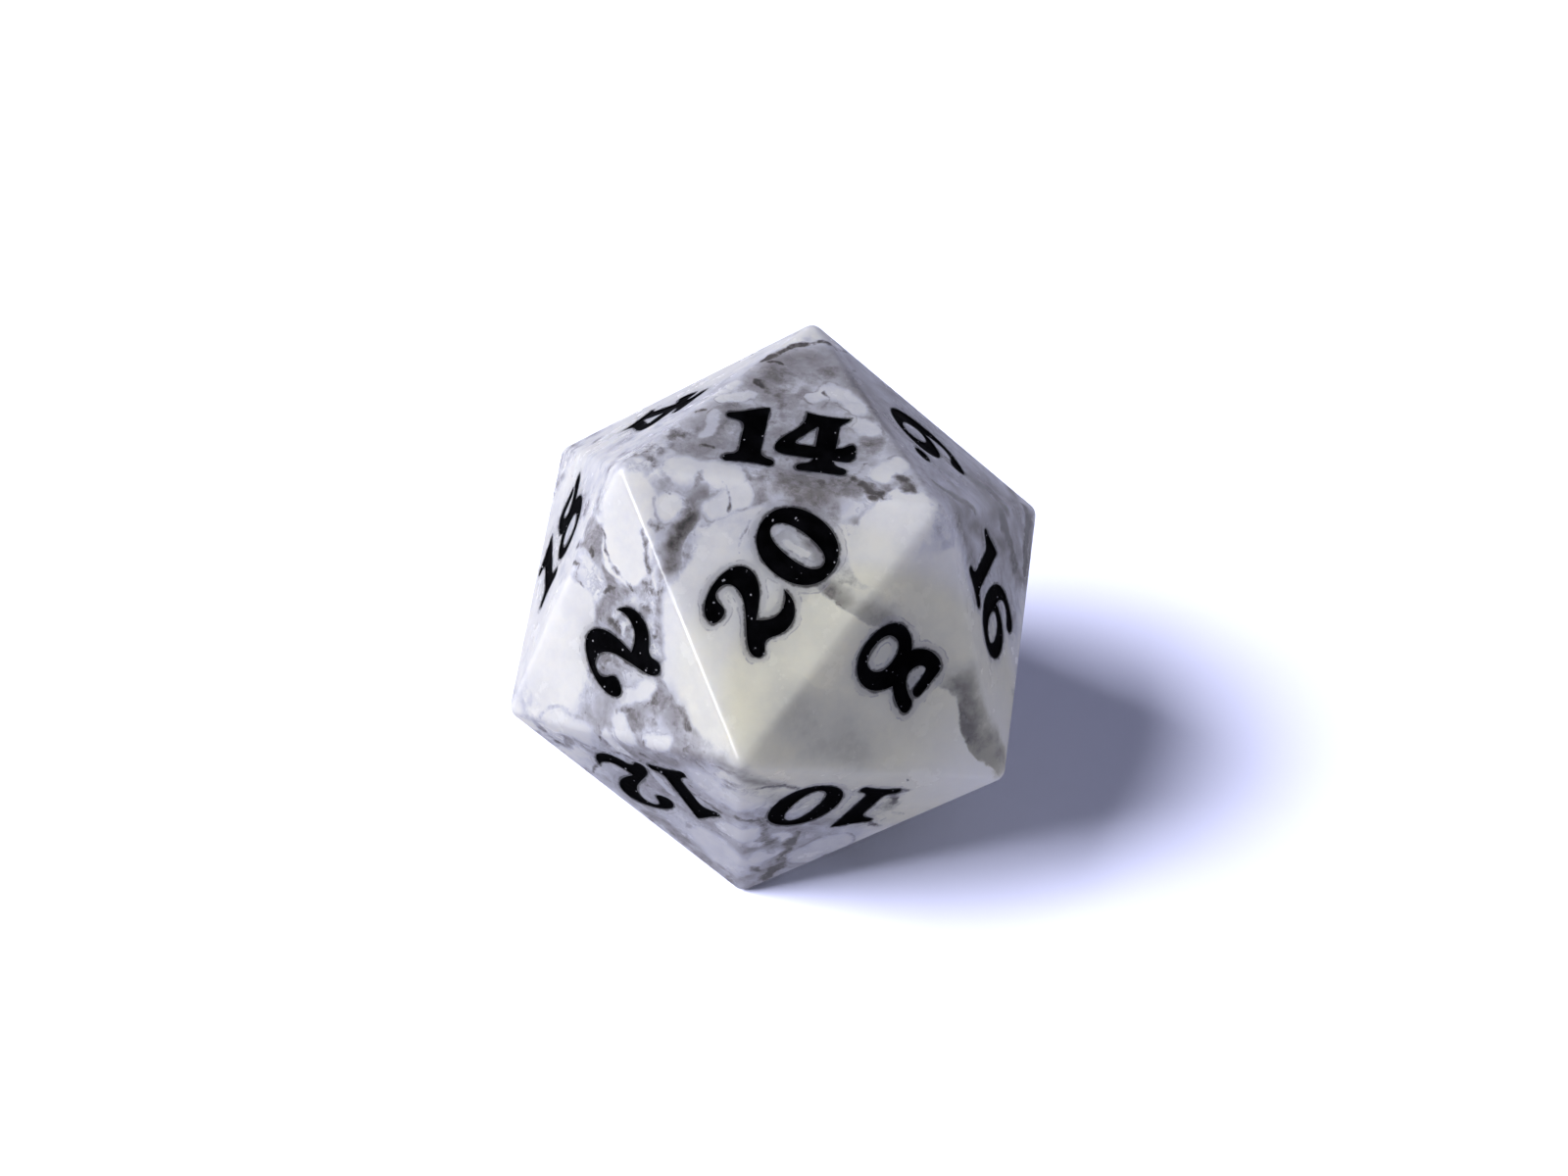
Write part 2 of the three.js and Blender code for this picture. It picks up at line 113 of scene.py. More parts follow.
# Number, corner the numeral points at, the other two corners, digit height, shift of the numeral
# from the middle of the face (right, up), and the gap between its digits.
FACES = [
    (20, ("topLeft", "upperFront", "topRight"), 3.5, (0.25, -0.15), DIGIT_GAP),
    (14, ("topBack", "topLeft", "topRight"), 3.85, (0, -0.6), -0.1),
    (2, ("lowerLeft", "topLeft", "upperFront"), 3.9, (-0.1, 0.1), DIGIT_GAP),
    (8, ("lowerRight", "upperFront", "topRight"), 3.9, (-0.55, -0.65), DIGIT_GAP),
    (12, ("baseFront", "lowerLeft", "upperFront"), 3.8, (0.2, -0.2), DIGIT_GAP),
    (10, ("baseFront", "upperFront", "lowerRight"), 3.65, (0.3, -0.6), DIGIT_GAP),
    (16, ("upperRight", "lowerRight", "topRight"), 3.7, (-0.4, -0.4), 0),
    (6, ("upperRight", "topRight", "topBack"), 3.95, (-0.5, -0.1), DIGIT_GAP),
    (4, ("upperLeft", "topBack", "topLeft"), 3.95, (0, 0.4), DIGIT_GAP),
    (18, ("upperLeft", "topLeft", "lowerLeft"), 3.8, (-0.35, 0.6), 0.15),
    (1, ("baseRight", "lowerBack", "baseLeft"), 4, (0, -0.3), DIGIT_GAP),
    (7, ("baseFront", "baseRight", "baseLeft"), 4, (0, -0.3), DIGIT_GAP),
    (19, ("upperRight", "lowerBack", "baseRight"), 3.8, (0, -0.4), DIGIT_GAP),
    (13, ("upperLeft", "baseLeft", "lowerBack"), 3.8, (0, -0.4), DIGIT_GAP),
    (9, ("topBack", "upperRight", "lowerBack"), 4, (0, -0.2), DIGIT_GAP),
    (11, ("topBack", "lowerBack", "upperLeft"), 3.8, (0, -0.4), DIGIT_GAP),
    (5, ("lowerLeft", "upperLeft", "baseLeft"), 4, (0, -0.3), DIGIT_GAP),
    (15, ("lowerLeft", "baseLeft", "baseFront"), 3.8, (0, -0.4), DIGIT_GAP),
    (17, ("lowerRight", "baseFront", "baseRight"), 3.8, (0, -0.4), DIGIT_GAP),
    (3, ("lowerRight", "baseRight", "upperRight"), 4, (0, -0.3), DIGIT_GAP),
]

# ------------ digit outlines

# A contour starts with its first point; after it a pair ends a straight side and a group of six is
# a cubic curve (two handles, then the end point).
DRAWN_HEIGHT = 100           # every digit stands from 0 to this
DIGITS = {
    0: [
        [[41, 0], [66, 0, 82, 20, 82, 49], [82, 80, 65, 100, 42, 100], [17, 100, 0, 80, 0, 50],
         [0, 20, 17, 0, 41, 0]],
        [[42, 12.5], [31, 12.5, 25, 25, 25, 48], [25, 73, 31, 87.5, 41, 87.5], [51, 87.5, 58, 74, 58, 51],
         [58, 27, 52, 12.5, 42, 12.5]],
    ],
    1: [
        [[12, 0], [27, 3, 41, 3, 56, 0], [63, 0, 64, 10, 57, 12], [49, 14, 46, 17, 45.5, 24], [45.5, 84],
         [45.5, 92, 47, 95, 45, 100], [33, 98, 22, 88, 5, 84], [-1, 82, -1, 76, 5, 74],
         [16, 72, 21.5, 71, 22, 60], [22, 24], [22, 17, 19, 14, 12, 12], [5, 10, 5, 0, 12, 0]],
    ],
    2: [
        [[0, 76], [0, 70.5, 5, 68, 12, 68], [20, 68, 23, 72, 23.5, 78], [24, 87, 28, 92, 36, 92],
         [45, 92, 50.5, 86, 50, 77], [49, 63, 38, 54, 27, 44], [14, 32, 0, 24, 0, 12],
         [0, 6.5, 3, 3.5, 8, 3.5], [15, 3.5, 15, 11, 23, 11], [31, 11, 36, 0, 52, 0],
         [68, 0, 82, 12, 82, 31], [76, 22, 68, 18.5, 58, 18.5], [47, 18.5, 40, 27, 34.5, 35],
         [52, 43, 76.5, 57, 76.5, 77], [76.5, 92, 60, 100, 42, 100], [20, 100, 0, 90, 0, 76]],
    ],
    3: [
        [[0, 20], [0, 7, 14, 0, 33, 0], [58, 0, 74, 14, 74, 31], [74, 44, 66, 53, 53, 56.5],
         [63, 61, 69, 68, 69, 77], [69, 91, 54, 100, 34, 100], [15, 100, 2, 92, 2, 81],
         [2, 75, 7, 71.5, 13, 71.5], [20, 71.5, 23, 76, 23.5, 81], [24, 88, 27, 91.5, 33, 91.5],
         [41, 91.5, 46, 86, 46, 77], [46, 66, 38, 59.5, 24, 59.5], [24, 50.5], [42, 50.5, 50, 43, 50, 31],
         [50, 17, 43, 8.5, 32, 8.5], [25, 8.5, 23.5, 12, 23.5, 20], [23.5, 27, 19, 31, 12, 31],
         [5, 31, 0, 27, 0, 20]],
    ],
    4: [
        [[31, 0], [74, 0], [82, 0, 83, 10, 76, 12], [69, 13.5, 65.5, 16, 65, 22.5], [76, 22.5],
         [84, 22.5, 87, 27, 87, 38], [87, 47, 86, 52, 82, 54], [77, 52, 74, 45, 65, 44], [65, 80],
         [65, 87, 74, 90, 75, 98], [60, 95.5, 44, 96, 27, 100], [28, 87, 26, 79, 18, 68],
         [10, 57, 0, 46, 0, 35], [0, 25, 8, 23.5, 20, 23], [43, 22.5], [43, 16, 38, 13.5, 32, 12],
         [25, 10, 25, 0, 31, 0]],
        [[43, 43], [25, 43.5], [20, 44, 20, 47, 22, 50], [40, 75.5], [42, 78.5, 43, 77, 43, 74], [43, 43]],
    ],
    5: [
        [[0, 20], [0, 7, 14, 0, 33, 0], [58, 0, 73, 15, 73, 34], [73, 53, 58, 64, 38, 64],
         [31, 64, 27, 62.5, 23, 61], [24.5, 79], [40, 77, 58, 80, 67, 99], [58, 97, 30, 96, 13, 100],
         [10, 48], [16, 50, 23, 55, 32, 55], [43, 55, 49, 46, 49, 33], [49, 18, 43, 8.5, 32, 8.5],
         [25, 8.5, 23.5, 12, 23.5, 20], [23.5, 27, 19, 31, 12, 31], [5, 31, 0, 27, 0, 20]],
    ],
    6: [
        [[0, 38], [0, 16, 17, 0, 42, 0], [64, 0, 80, 15, 80, 36], [80, 54, 66, 65, 48, 65],
         [39, 65, 33, 63.5, 28, 60.5], [29, 75, 36, 87, 48, 87], [56, 87, 60, 84, 64, 80],
         [70, 74, 81, 77, 82, 87], [83, 97, 72, 100, 53, 100], [22, 100, 0, 72, 0, 38]],
        [[45, 12.5], [36, 12.5, 26, 21, 26, 34], [26, 43, 30, 51, 38, 51], [48, 51, 57, 42, 57, 28],
         [57, 19, 53, 12.5, 45, 12.5]],
    ],
    7: [
        [[19, 0], [27, 1.5, 35, 1.5, 44, 0], [42, 28, 52, 52, 74, 86], [74, 100], [52, 96, 30, 99, 8, 100],
         [6, 90, 2, 79, 0, 67], [7, 66], [10, 76, 17, 81, 27, 81], [50, 81], [32, 58, 18, 32, 19, 0]],
    ],
    8: [
        [[37, 0], [61, 0, 75.6, 15, 75.6, 33], [75.6, 47, 66, 57, 56, 62.5], [64, 72, 69, 83, 70, 92],
         [70.5, 98, 68, 100, 64, 100], [56, 100, 54.5, 97, 53, 91], [50, 80, 41, 69, 33.5, 69],
         [26, 69, 18, 74, 18, 81], [18, 87, 30, 86, 43, 86.5], [49, 87, 52, 99, 43, 100], [14, 100],
         [4, 100, 1, 92, 1, 80], [1, 68, 7, 60, 13, 53], [5, 46, 0, 37, 0, 27], [0, 12, 15, 0, 37, 0]],
        [[37, 11], [24, 11, 15.5, 16, 15.5, 26], [15.5, 36, 24, 42, 37, 42], [50, 42, 58, 36, 58, 26.5],
         [58, 16, 50, 11, 37, 11]],
    ],
}


def resample(points, step):
    """The points of a straight or curved stretch, about one step apart, without the last."""
    lengths = np.concatenate([[0], np.cumsum(np.linalg.norm(np.diff(points, axis=0), axis=1))])
    count = max(1, round(lengths[-1] / step))
    wanted = np.linspace(0, lengths[-1], count + 1)[:-1]
    return np.stack([np.interp(wanted, lengths, points[:, axis]) for axis in (0, 1)], axis=1)


def contour_points(contour, height):
    scale = height / DRAWN_HEIGHT
    start = Vector(contour[0]) * scale
    stretches = []
    for entry in contour[1:]:
        values = [Vector(entry[i:i + 2]) * scale for i in range(0, len(entry), 2)]
        if len(values) == 1:
            stretch = [start, values[0]]
        else:
            stretch = interpolate_bezier(start, *values, CURVE_POINTS)
        stretches.append(resample(np.array([tuple(p)[:2] for p in stretch]), OUTLINE_STEP))
        start = values[-1]
    return np.concatenate(stretches)


def digit_contours(digit, height):
    """A 9 is the 6 turned upside down."""
    contours = [contour_points(contour, height) for contour in DIGITS[6 if digit == 9 else digit]]
    if digit == 9:
        turned = np.array([contours[0][:, 0].max(), height])
        contours = [turned - points for points in contours]
    return contours


def dot_contours():
    angles = np.arange(0, 2 * math.pi, OUTLINE_STEP / DOT_RADIUS)
    return [DOT_RADIUS * (1 + np.stack([np.cos(angles), np.sin(angles)], axis=1))]


def lay_out_number(number, height, shift, gap):
    """The digits of one number side by side: (label, contours) about the middle of the face."""
    digits = [int(character) for character in str(number)]
    labels = ["digit"] if len(digits) == 1 else ["tens", "ones"]
    pieces = []
    width = -gap
    for label, digit in zip(labels, digits):
        contours = digit_contours(digit, height)
        pieces.append((label, contours, width + gap))
        width += gap + contours[0][:, 0].max()
    if number in (6, 9):
        pieces.append(("dot", dot_contours(), width + DOT_GAP))
    corner_shift = np.array(shift) - (width / 2, height / 2)
    return [
        (label, [points + corner_shift + (left, 0) for points in contours])
        for label, contours, left in pieces
    ]


# ------------ flat geometry

def segments_of(contours):
    """Start and end points of every side of the closed contours."""
    starts = np.concatenate(contours)
    ends = np.concatenate([np.roll(points, -1, axis=0) for points in contours])
    return starts, ends


def distance_to(points, contours):
    """Distance from each point to the nearest side of the contours."""
    starts, ends = segments_of(contours)
    along = ends - starts
    nearest = np.full(len(points), np.inf)
    for start, side in zip(starts, along):
        offset = points - start
        share = np.clip(offset @ side / (side @ side), 0, 1)
        gaps = offset - share[:, None] * side
        nearest = np.minimum(nearest, np.hypot(gaps[:, 0], gaps[:, 1]))
    return nearest


def inside(points, contours):
    """Whether each point lies within the contours, by counting the sides to its right."""
    starts, ends = segments_of(contours)
    crossings = np.zeros(len(points), int)
    for (x0, y0), (x1, y1) in zip(starts, ends):
        if y0 == y1:
            continue
        spans = (points[:, 1] < y0) != (points[:, 1] < y1)
        crossing = x0 + (points[:, 1] - y0) * (x1 - x0) / (y1 - y0)
        crossings += spans & (crossing > points[:, 0])
    return crossings % 2 == 1


def ring(points, distance):
    """A closed outline moved sideways: positive distances lead out of the paint."""
    tangents = np.roll(points, -1, axis=0) - np.roll(points, 1, axis=0)
    tangents /= np.linalg.norm(tangents, axis=1, keepdims=True)
    return points + distance * np.stack([tangents[:, 1], -tangents[:, 0]], axis=1)


def thin_out(points, spacing):
    """Drops points that are closer than the spacing to one already kept."""
    kept = {}
    for point in points:
        cell = tuple(np.floor(point / spacing).astype(int))
        around = [(cell[0] + i, cell[1] + j) for i in (-1, 0, 1) for j in (-1, 0, 1)]
        if all(np.hypot(*(kept[c] - point)) > spacing for c in around if c in kept):
            kept[cell] = point
    return np.array(list(kept.values()))


def rings_about(contours, distances, all_contours):
    """Points at the given distances from the contours that no other contour comes nearer to."""
    rings = []
    for distance in distances:
        points = np.concatenate([ring(contour, distance) for contour in contours])
        true_distance = distance_to(points, all_contours)
        rings.append(points[true_distance > abs(distance) * RING_SHARE])
    return np.concatenate(rings)


def triangulate_face(triangle, pieces):
    """Splits a flat face along its digits.

    Returns points, their distance to the nearest outline, the triangles, and for each triangle the
    index of the piece that it lies in, or -1 on the stone.
    """
    contours = [points for _, piece in pieces for points in piece]
    border = np.concatenate([
        triangle[i] + np.linspace(0, 1, EDGE_STEPS + 1)[:-1, None] * (triangle[(i + 1) % 3] - triangle[i])
        for i in range(3)
    ])
    outlines = [border] + contours
    fixed = np.concatenate(outlines)
    edges = []
    first = 0
    for outline in outlines:
        count = len(outline)
        edges += [(first + i, first + (i + 1) % count) for i in range(count)]
        first += count

    low = triangle.min(axis=0)
    high = triangle.max(axis=0)
    rows = np.arange(low[1], high[1], PLAIN_STEP * math.sqrt(3) / 2)
    columns = np.arange(low[0], high[0], PLAIN_STEP)
    grid = np.array([(x + PLAIN_STEP / 2 * (i % 2), y) for i, y in enumerate(rows) for x in columns])
    grid = grid[distance_to(grid, contours) > STONE_RINGS[-1] + PLAIN_STEP / 2]
    outer = rings_about(contours, STONE_RINGS, contours)
    inner = rings_about(contours, [-distance for distance in PAINT_RINGS], contours)
    loose = thin_out(np.concatenate([outer, inner, grid]), OUTLINE_STEP * LOOSE_GAP)
    loose = loose[inside(loose, [border]) & (distance_to(loose, [border]) > PLAIN_STEP * BORDER_GAP)]

    points, _, triangles, *_ = delaunay_2d_cdt(
        [Vector(p) for p in np.concatenate([fixed, loose])], edges, [], INNER_TRIANGLES, SAME_POINT
    )
    points = np.array([tuple(p) for p in points])
    triangles = np.array(triangles)
    middles = points[triangles].mean(axis=1)
    owner = np.full(len(triangles), -1)
    for index, (_, piece) in enumerate(pieces):
        owner[inside(middles, piece)] = index
    return points, distance_to(points, contours), triangles, owner


# ------------ solids

PAINT_DISTANCE = "paint_distance"     # stored on every point: mm to the nearest digit outline
FAR_FROM_PAINT = 2.0                  # what is stored on the roundings


def new_object(name, data):
    thing = bpy.data.objects.new(name, data)
    bpy.context.scene.collection.objects.link(thing)
    return thing


def smooth(share):
    share = np.clip(share, 0, 1)
    return share * share * (3 - 2 * share)


def face_frame(corners):
    """Middle of a face, and its directions right of the numeral, up the numeral and outward."""
    positions = [CORNERS[name] for name in corners]
    centre = sum(positions) / 3
    outward = centre / np.linalg.norm(centre)
    upward = positions[0] - centre
    upward /= np.linalg.norm(upward)
    return centre, np.cross(upward, outward), upward, outward


class Surface:
    """Collects triangles in mm about the middle of the die, with one number stored per point."""

    def __init__(self):
        self.points = []
        self.values = []
        self.triangles = []
        self.count = 0

    def add(self, points, triangles, values):
        self.points.append(points)
        self.values.append(np.broadcast_to(values, len(points)))
        self.triangles.append(np.asarray(triangles) + self.count)
        self.count += len(points)

    def to_object(self, name):
        """One mesh object in metres, resting on the floor, with its points joined where they meet."""
        points = (np.concatenate(self.points) + (0, 0, FACE_DISTANCE)) * MM
        mesh = bpy.data.meshes.new(name)
        mesh.from_pydata(points.tolist(), [], np.concatenate(self.triangles).tolist())
        layer = mesh.attributes.new(PAINT_DISTANCE, "FLOAT", "POINT")
        layer.data.foreach_set("value", np.concatenate(self.values).astype(np.float32))
        joined = bmesh.new()
        joined.from_mesh(mesh)
        bmesh.ops.remove_doubles(joined, verts=joined.verts, dist=TOUCHING * MM)
        joined.to_mesh(mesh)
        joined.free()
        mesh.shade_smooth()
        mesh.set_sharp_from_angle(angle=CREASE)
        return new_object(name, mesh)


def outline_wall(surface, place, points, top, bottom, value):
    """A wall below a closed outline, facing the side that lies left of its direction of travel."""
    count = len(points)
    upper = place(points, np.full(count, top))
    lower = place(points, np.full(count, bottom))
    here = np.arange(count)
    following = (here + 1) % count
    first = np.stack([here, following, following + count], axis=1)
    second = np.stack([here, following + count, here + count], axis=1)
    surface.add(np.concatenate([upper, lower]), np.concatenate([first, second]), value)


def only_used(points, triangles):
    used, renumbered = np.unique(triangles, return_inverse=True)
    return points[used], renumbered.reshape(-1, 3), used


stone_surface = Surface()
paint_surfaces = {}


def build_face(number, corners, height, shift, gap):
    """One face of the stone with its engraving, and the paint in each pocket."""
    centre, right, up, outward = face_frame(corners)

    def place(flat, heights):
        return centre + flat[:, :1] * right + flat[:, 1:] * up + heights[:, None] * outward

    flat_corners = np.array([
        [(CORNERS[name] * SHRINK) @ right, (CORNERS[name] * SHRINK) @ up] for name in corners
    ])
    pieces = lay_out_number(number, height, shift, gap)
    points, distances, triangles, owner = triangulate_face(flat_corners, pieces)

    on_stone, faces, used = only_used(points, triangles[owner < 0])
    slope = smooth(1 - distances[used] / RIM_WIDTH)
    slope[distance_to(on_stone, [flat_corners]) < TOUCHING] = 0    # the flat's border keeps its height
    stone_surface.add(place(on_stone, -RIM_DROP * slope), faces, distances[used])

    for index, (label, contours) in enumerate(pieces):
        within, faces, used = only_used(points, triangles[owner == index])
        floor = np.full(len(within), -POCKET_DEPTH)
        stone_surface.add(place(within, floor), faces, 0)
        for outline in contours:
            outline_wall(stone_surface, place, outline, -RIM_DROP, -POCKET_DEPTH, 0)

        paint = Surface()
        dish = PAINT_DISH * smooth(distances[used] / PAINT_CLING)
        paint.add(place(within, -RIM_DROP - PAINT_SINK - dish), faces, distances[used])
        paint.add(place(within, floor), faces[:, ::-1], 0)
        for outline in contours:
            outline_wall(paint, place, outline[::-1], -RIM_DROP - PAINT_SINK, -POCKET_DEPTH, 0)
        paint_surfaces[f"paint_{number}_{label}"] = paint


def arc(first, second, steps):
    """Unit directions from one to the other, evenly turned."""
    angle = math.acos(np.clip(first @ second, -1, 1))
    shares = np.linspace(0, 1, steps + 1)[:, None]
    return (np.sin((1 - shares) * angle) * first + np.sin(shares * angle) * second) / math.sin(angle)


def facing_out(points, triangles):
    """Turns round the triangles that face the middle of the die."""
    a, b, c = (points[triangles[:, i]] for i in range(3))
    inward = np.einsum("ij,ij->i", np.cross(b - a, c - a), a + b + c) < 0
    triangles[inward] = triangles[inward][:, ::-1]
    return triangles


def build_edge(corners, first, second):
    """The rounding along the edge between two faces with these outward directions."""
    start, end = (CORNERS[name] * SHRINK for name in corners)
    line = start + np.linspace(0, 1, EDGE_STEPS + 1)[:, None] * (end - start)
    directions = arc(first, second, ROUNDING_STEPS) * EDGE_RADIUS
    points = (line[:, None] + directions[None]).reshape(-1, 3)
    across = ROUNDING_STEPS + 1
    quads = np.array([
        (i * across + j, (i + 1) * across + j, (i + 1) * across + j + 1, i * across + j + 1)
        for i in range(EDGE_STEPS) for j in range(ROUNDING_STEPS)
    ])
    triangles = np.concatenate([quads[:, [0, 1, 2]], quads[:, [0, 2, 3]]])
    stone_surface.add(points, facing_out(points, triangles), FAR_FROM_PAINT)


def build_corner_sector(name, first, second):
    """One fifth of the rounding at a corner, between the flats of two neighbouring faces."""
    tip = CORNERS[name]
    crown = tip / np.linalg.norm(tip)
    centre = tip * SHRINK
    rim = arc(first, second, ROUNDING_STEPS)
    rows = [crown[None]]
    for row in range(1, ROUNDING_STEPS + 1):
        share = row / ROUNDING_STEPS
        ends = [crown * (1 - share) + edge * share for edge in (rim[0], rim[-1])]
        ends = [edge / np.linalg.norm(edge) for edge in ends]
        rows.append(rim if row == ROUNDING_STEPS else arc(*ends, row))
    points = centre + np.concatenate(rows) * EDGE_RADIUS
    triangles = []
    for row in range(ROUNDING_STEPS):
        inner = row * (row + 1) // 2
        outer = inner + row + 1
        for i in range(row + 1):
            triangles.append((inner + i, outer + i, outer + i + 1))
            if i < row:
                triangles.append((inner + i, outer + i + 1, inner + i + 1))
    stone_surface.add(points, facing_out(points, np.array(triangles)), FAR_FROM_PAINT)


def build_die():
    outward = {corners: face_frame(corners)[3] for _, corners, *_ in FACES}
    for face in FACES:
        build_face(*face)
    names = list(outward)
    for index, first in enumerate(names):
        for second in names[index + 1:]:
            shared = [name for name in first if name in second]
            if len(shared) == 2:
                build_edge(shared, outward[first], outward[second])
                for name in shared:
                    build_corner_sector(name, outward[first], outward[second])


# ------------ shader building

NOISE_MIDDLE = 0.5
PUSH_PER_REACH = 3           # the noise seldom strays further than a third from its middle


class Shader:
    """Adds nodes to a tree. Methods return the last output; feed and node return the node."""

    def __init__(self, tree):
        self.tree = tree

    def feed(self, node, inputs):
        """Links or sets the inputs of a node, which it returns."""
        for name, value in inputs.items():
            if isinstance(value, bpy.types.NodeSocket):
                self.tree.links.new(value, node.inputs[name])
            else:
                node.inputs[name].default_value = value
        return node

    def node(self, kind, inputs, **settings):
        node = self.tree.nodes.new(kind)
        for name, value in settings.items():
            setattr(node, name, value)
        return self.feed(node, inputs)

    def math(self, operation, first, second=0.0):
        return self.node("ShaderNodeMath", {0: first, 1: second}, operation=operation).outputs[0]

    def plus(self, first, second):
        return self.math("ADD", first, second)

    def minus(self, first, second):
        return self.math("SUBTRACT", first, second)

    def times(self, first, second):
        return self.math("MULTIPLY", first, second)

    def rest(self, share):
        """What a share lacks to one."""
        return self.math("SUBTRACT", 1.0, share)

    def highest(self, first, *others):
        for other in others:
            first = self.math("MAXIMUM", first, other)
        return first

    def vector(self, operation, first, second=(0, 0, 0), output="Vector"):
        node = self.node("ShaderNodeVectorMath", {0: first, 1: second}, operation=operation)
        return node.outputs[output]

    def scaled(self, vector, factor):
        node = self.node("ShaderNodeVectorMath", {0: vector, "Scale": factor}, operation="SCALE")
        return node.outputs[0]

    def step(self, value, start, end, low=0.0, high=1.0):
        """Goes smoothly from low at start to high at end."""
        inputs = {"Value": value, "From Min": start, "From Max": end, "To Min": low, "To Max": high}
        return self.node("ShaderNodeMapRange", inputs, interpolation_type="SMOOTHSTEP").outputs[0]

    def noise(self, position, size, detail=4.0, roughness=0.55, output="Fac"):
        """Cloudy noise from 0 to 1 whose lumps are about size mm across."""
        inputs = {"Vector": position, "Scale": 1 / size, "Detail": detail, "Roughness": roughness}
        return self.node("ShaderNodeTexNoise", inputs).outputs[output]

    def clouds(self, position, size, detail, roughness, start, end, low=0.0, high=1.0):
        """Noise whose span from start to end is stretched to go from low to high."""
        return self.step(self.noise(position, size, detail, roughness), start, end, low, high)

    def cells(self, position, size, feature):
        """Distance in mm to the middles (feature F1) or edges of cells about size mm across."""
        cells = self.node("ShaderNodeTexVoronoi", {"Vector": position, "Scale": 1 / size}, feature=feature)
        return self.times(cells.outputs["Distance"], size)

    def mix(self, share, first, second):
        node = self.node("ShaderNodeMix", {0: share, 6: first, 7: second}, data_type="RGBA")
        return node.outputs[2]

    def ramp(self, value, stops):
        node = self.node("ShaderNodeValToRGB", {"Fac": value})
        elements = node.color_ramp.elements
        while len(elements) < len(stops):
            elements.new(1.0)
        for element, (place, colour) in zip(elements, stops):
            element.position = place
            element.color = colour
        return node.outputs["Color"]

    def layers(self, position, centre, thickness, spread, detail, roughness):
        """Noise in shells round a centre: quick changes outward, slow ones along each shell."""
        offset = self.vector("SUBTRACT", position, centre)
        radius = self.vector("LENGTH", offset, output="Value")
        inputs = {
            "Vector": self.vector("NORMALIZE", offset),
            "W": self.math("DIVIDE", radius, thickness * spread),
            "Scale": spread,
            "Detail": detail,
            "Roughness": roughness,
        }
        return self.node("ShaderNodeTexNoise", inputs, noise_dimensions="4D").outputs["Fac"]

    def displaced(self, position, size, reach, detail=2.0):
        """The position pushed about by up to roughly reach mm."""
        push = self.noise(position, size, detail, output="Color")
        centred = self.vector("SUBTRACT", push, (NOISE_MIDDLE,) * 3)
        return self.vector("ADD", position, self.scaled(centred, reach * PUSH_PER_REACH))

    def relief(self, position, size, detail, depth):
        """Shading normals bent by lumps about size mm across and depth mm high."""
        height = self.noise(position, size, detail)
        inputs = {"Height": height, "Distance": depth * MM, "Strength": 1.0}
        return self.node("ShaderNodeBump", inputs).outputs["Normal"]

    def distance_to_line(self, position, start, end):
        """Distance from a position to the straight line between two places."""
        offset = self.vector("SUBTRACT", position, start)
        side = Vector(end) - Vector(start)
        if side.length == 0:
            return self.vector("LENGTH", offset, output="Value")
        direction = tuple(side.normalized())
        along = self.vector("DOT_PRODUCT", offset, direction, "Value")
        # a node of its own: the Math node's own clamp is worked out too late and overfills Cycles
        along = self.node("ShaderNodeClamp", {"Value": along, "Min": 0, "Max": side.length}).outputs[0]
        return self.vector("DISTANCE", offset, self.scaled(direction, along), "Value")

    def distance_to_path(self, position, points):
        nearest = None
        for start, end in zip(points, points[1:] or points):
            distance = self.distance_to_line(position, start, end)
            nearest = distance if nearest is None else self.math("MINIMUM", nearest, distance)
        return nearest

    def strokes(self, position, features, core=0.0):
        """Strength at a position of the strongest of several strokes; core is their solid share."""
        strongest = None
        for face, marks in features.items():
            for strength, width, *path in marks:
                points = [on_face(face, x, y) for x, y in path]
                distance = self.distance_to_path(position, points)
                stroke = self.step(distance, width, width * core, high=strength)
                # joined one by one, because all strokes at once would overfill Cycles
                strongest = stroke if strongest is None else self.highest(strongest, stroke)
        return strongest


def on_face(number, x, y):
    """The place x mm right and y mm up of the middle of a face, as its numeral reads."""
    corners = next(face[1] for face in FACES if face[0] == number)
    centre, right, up, _ = face_frame(corners)
    return tuple(centre + x * right + y * up)


def new_material(name):
    material = bpy.data.materials.new(name)
    material.use_nodes = True
    return material, Shader(material.node_tree), material.node_tree.nodes["Principled BSDF"]


def distance_to_paint(shader):
    """Distance in mm to the nearest digit outline."""
    return shader.node("ShaderNodeAttribute", {}, attribute_name=PAINT_DISTANCE).outputs["Fac"]


def place_in_die(shader):
    """Position in mm about the middle of the die."""
    position = shader.node("ShaderNodeTexCoord", {}).outputs["Object"]
    return shader.vector("SUBTRACT", shader.scaled(position, 1 / MM), (0, 0, FACE_DISTANCE))


# ------------ the stone's pattern

# For each face its marks: strength, half width in mm, then one or more places along the middle, in
# mm right and up of the middle of that face. Each marks the stone around it, on every face it reaches.

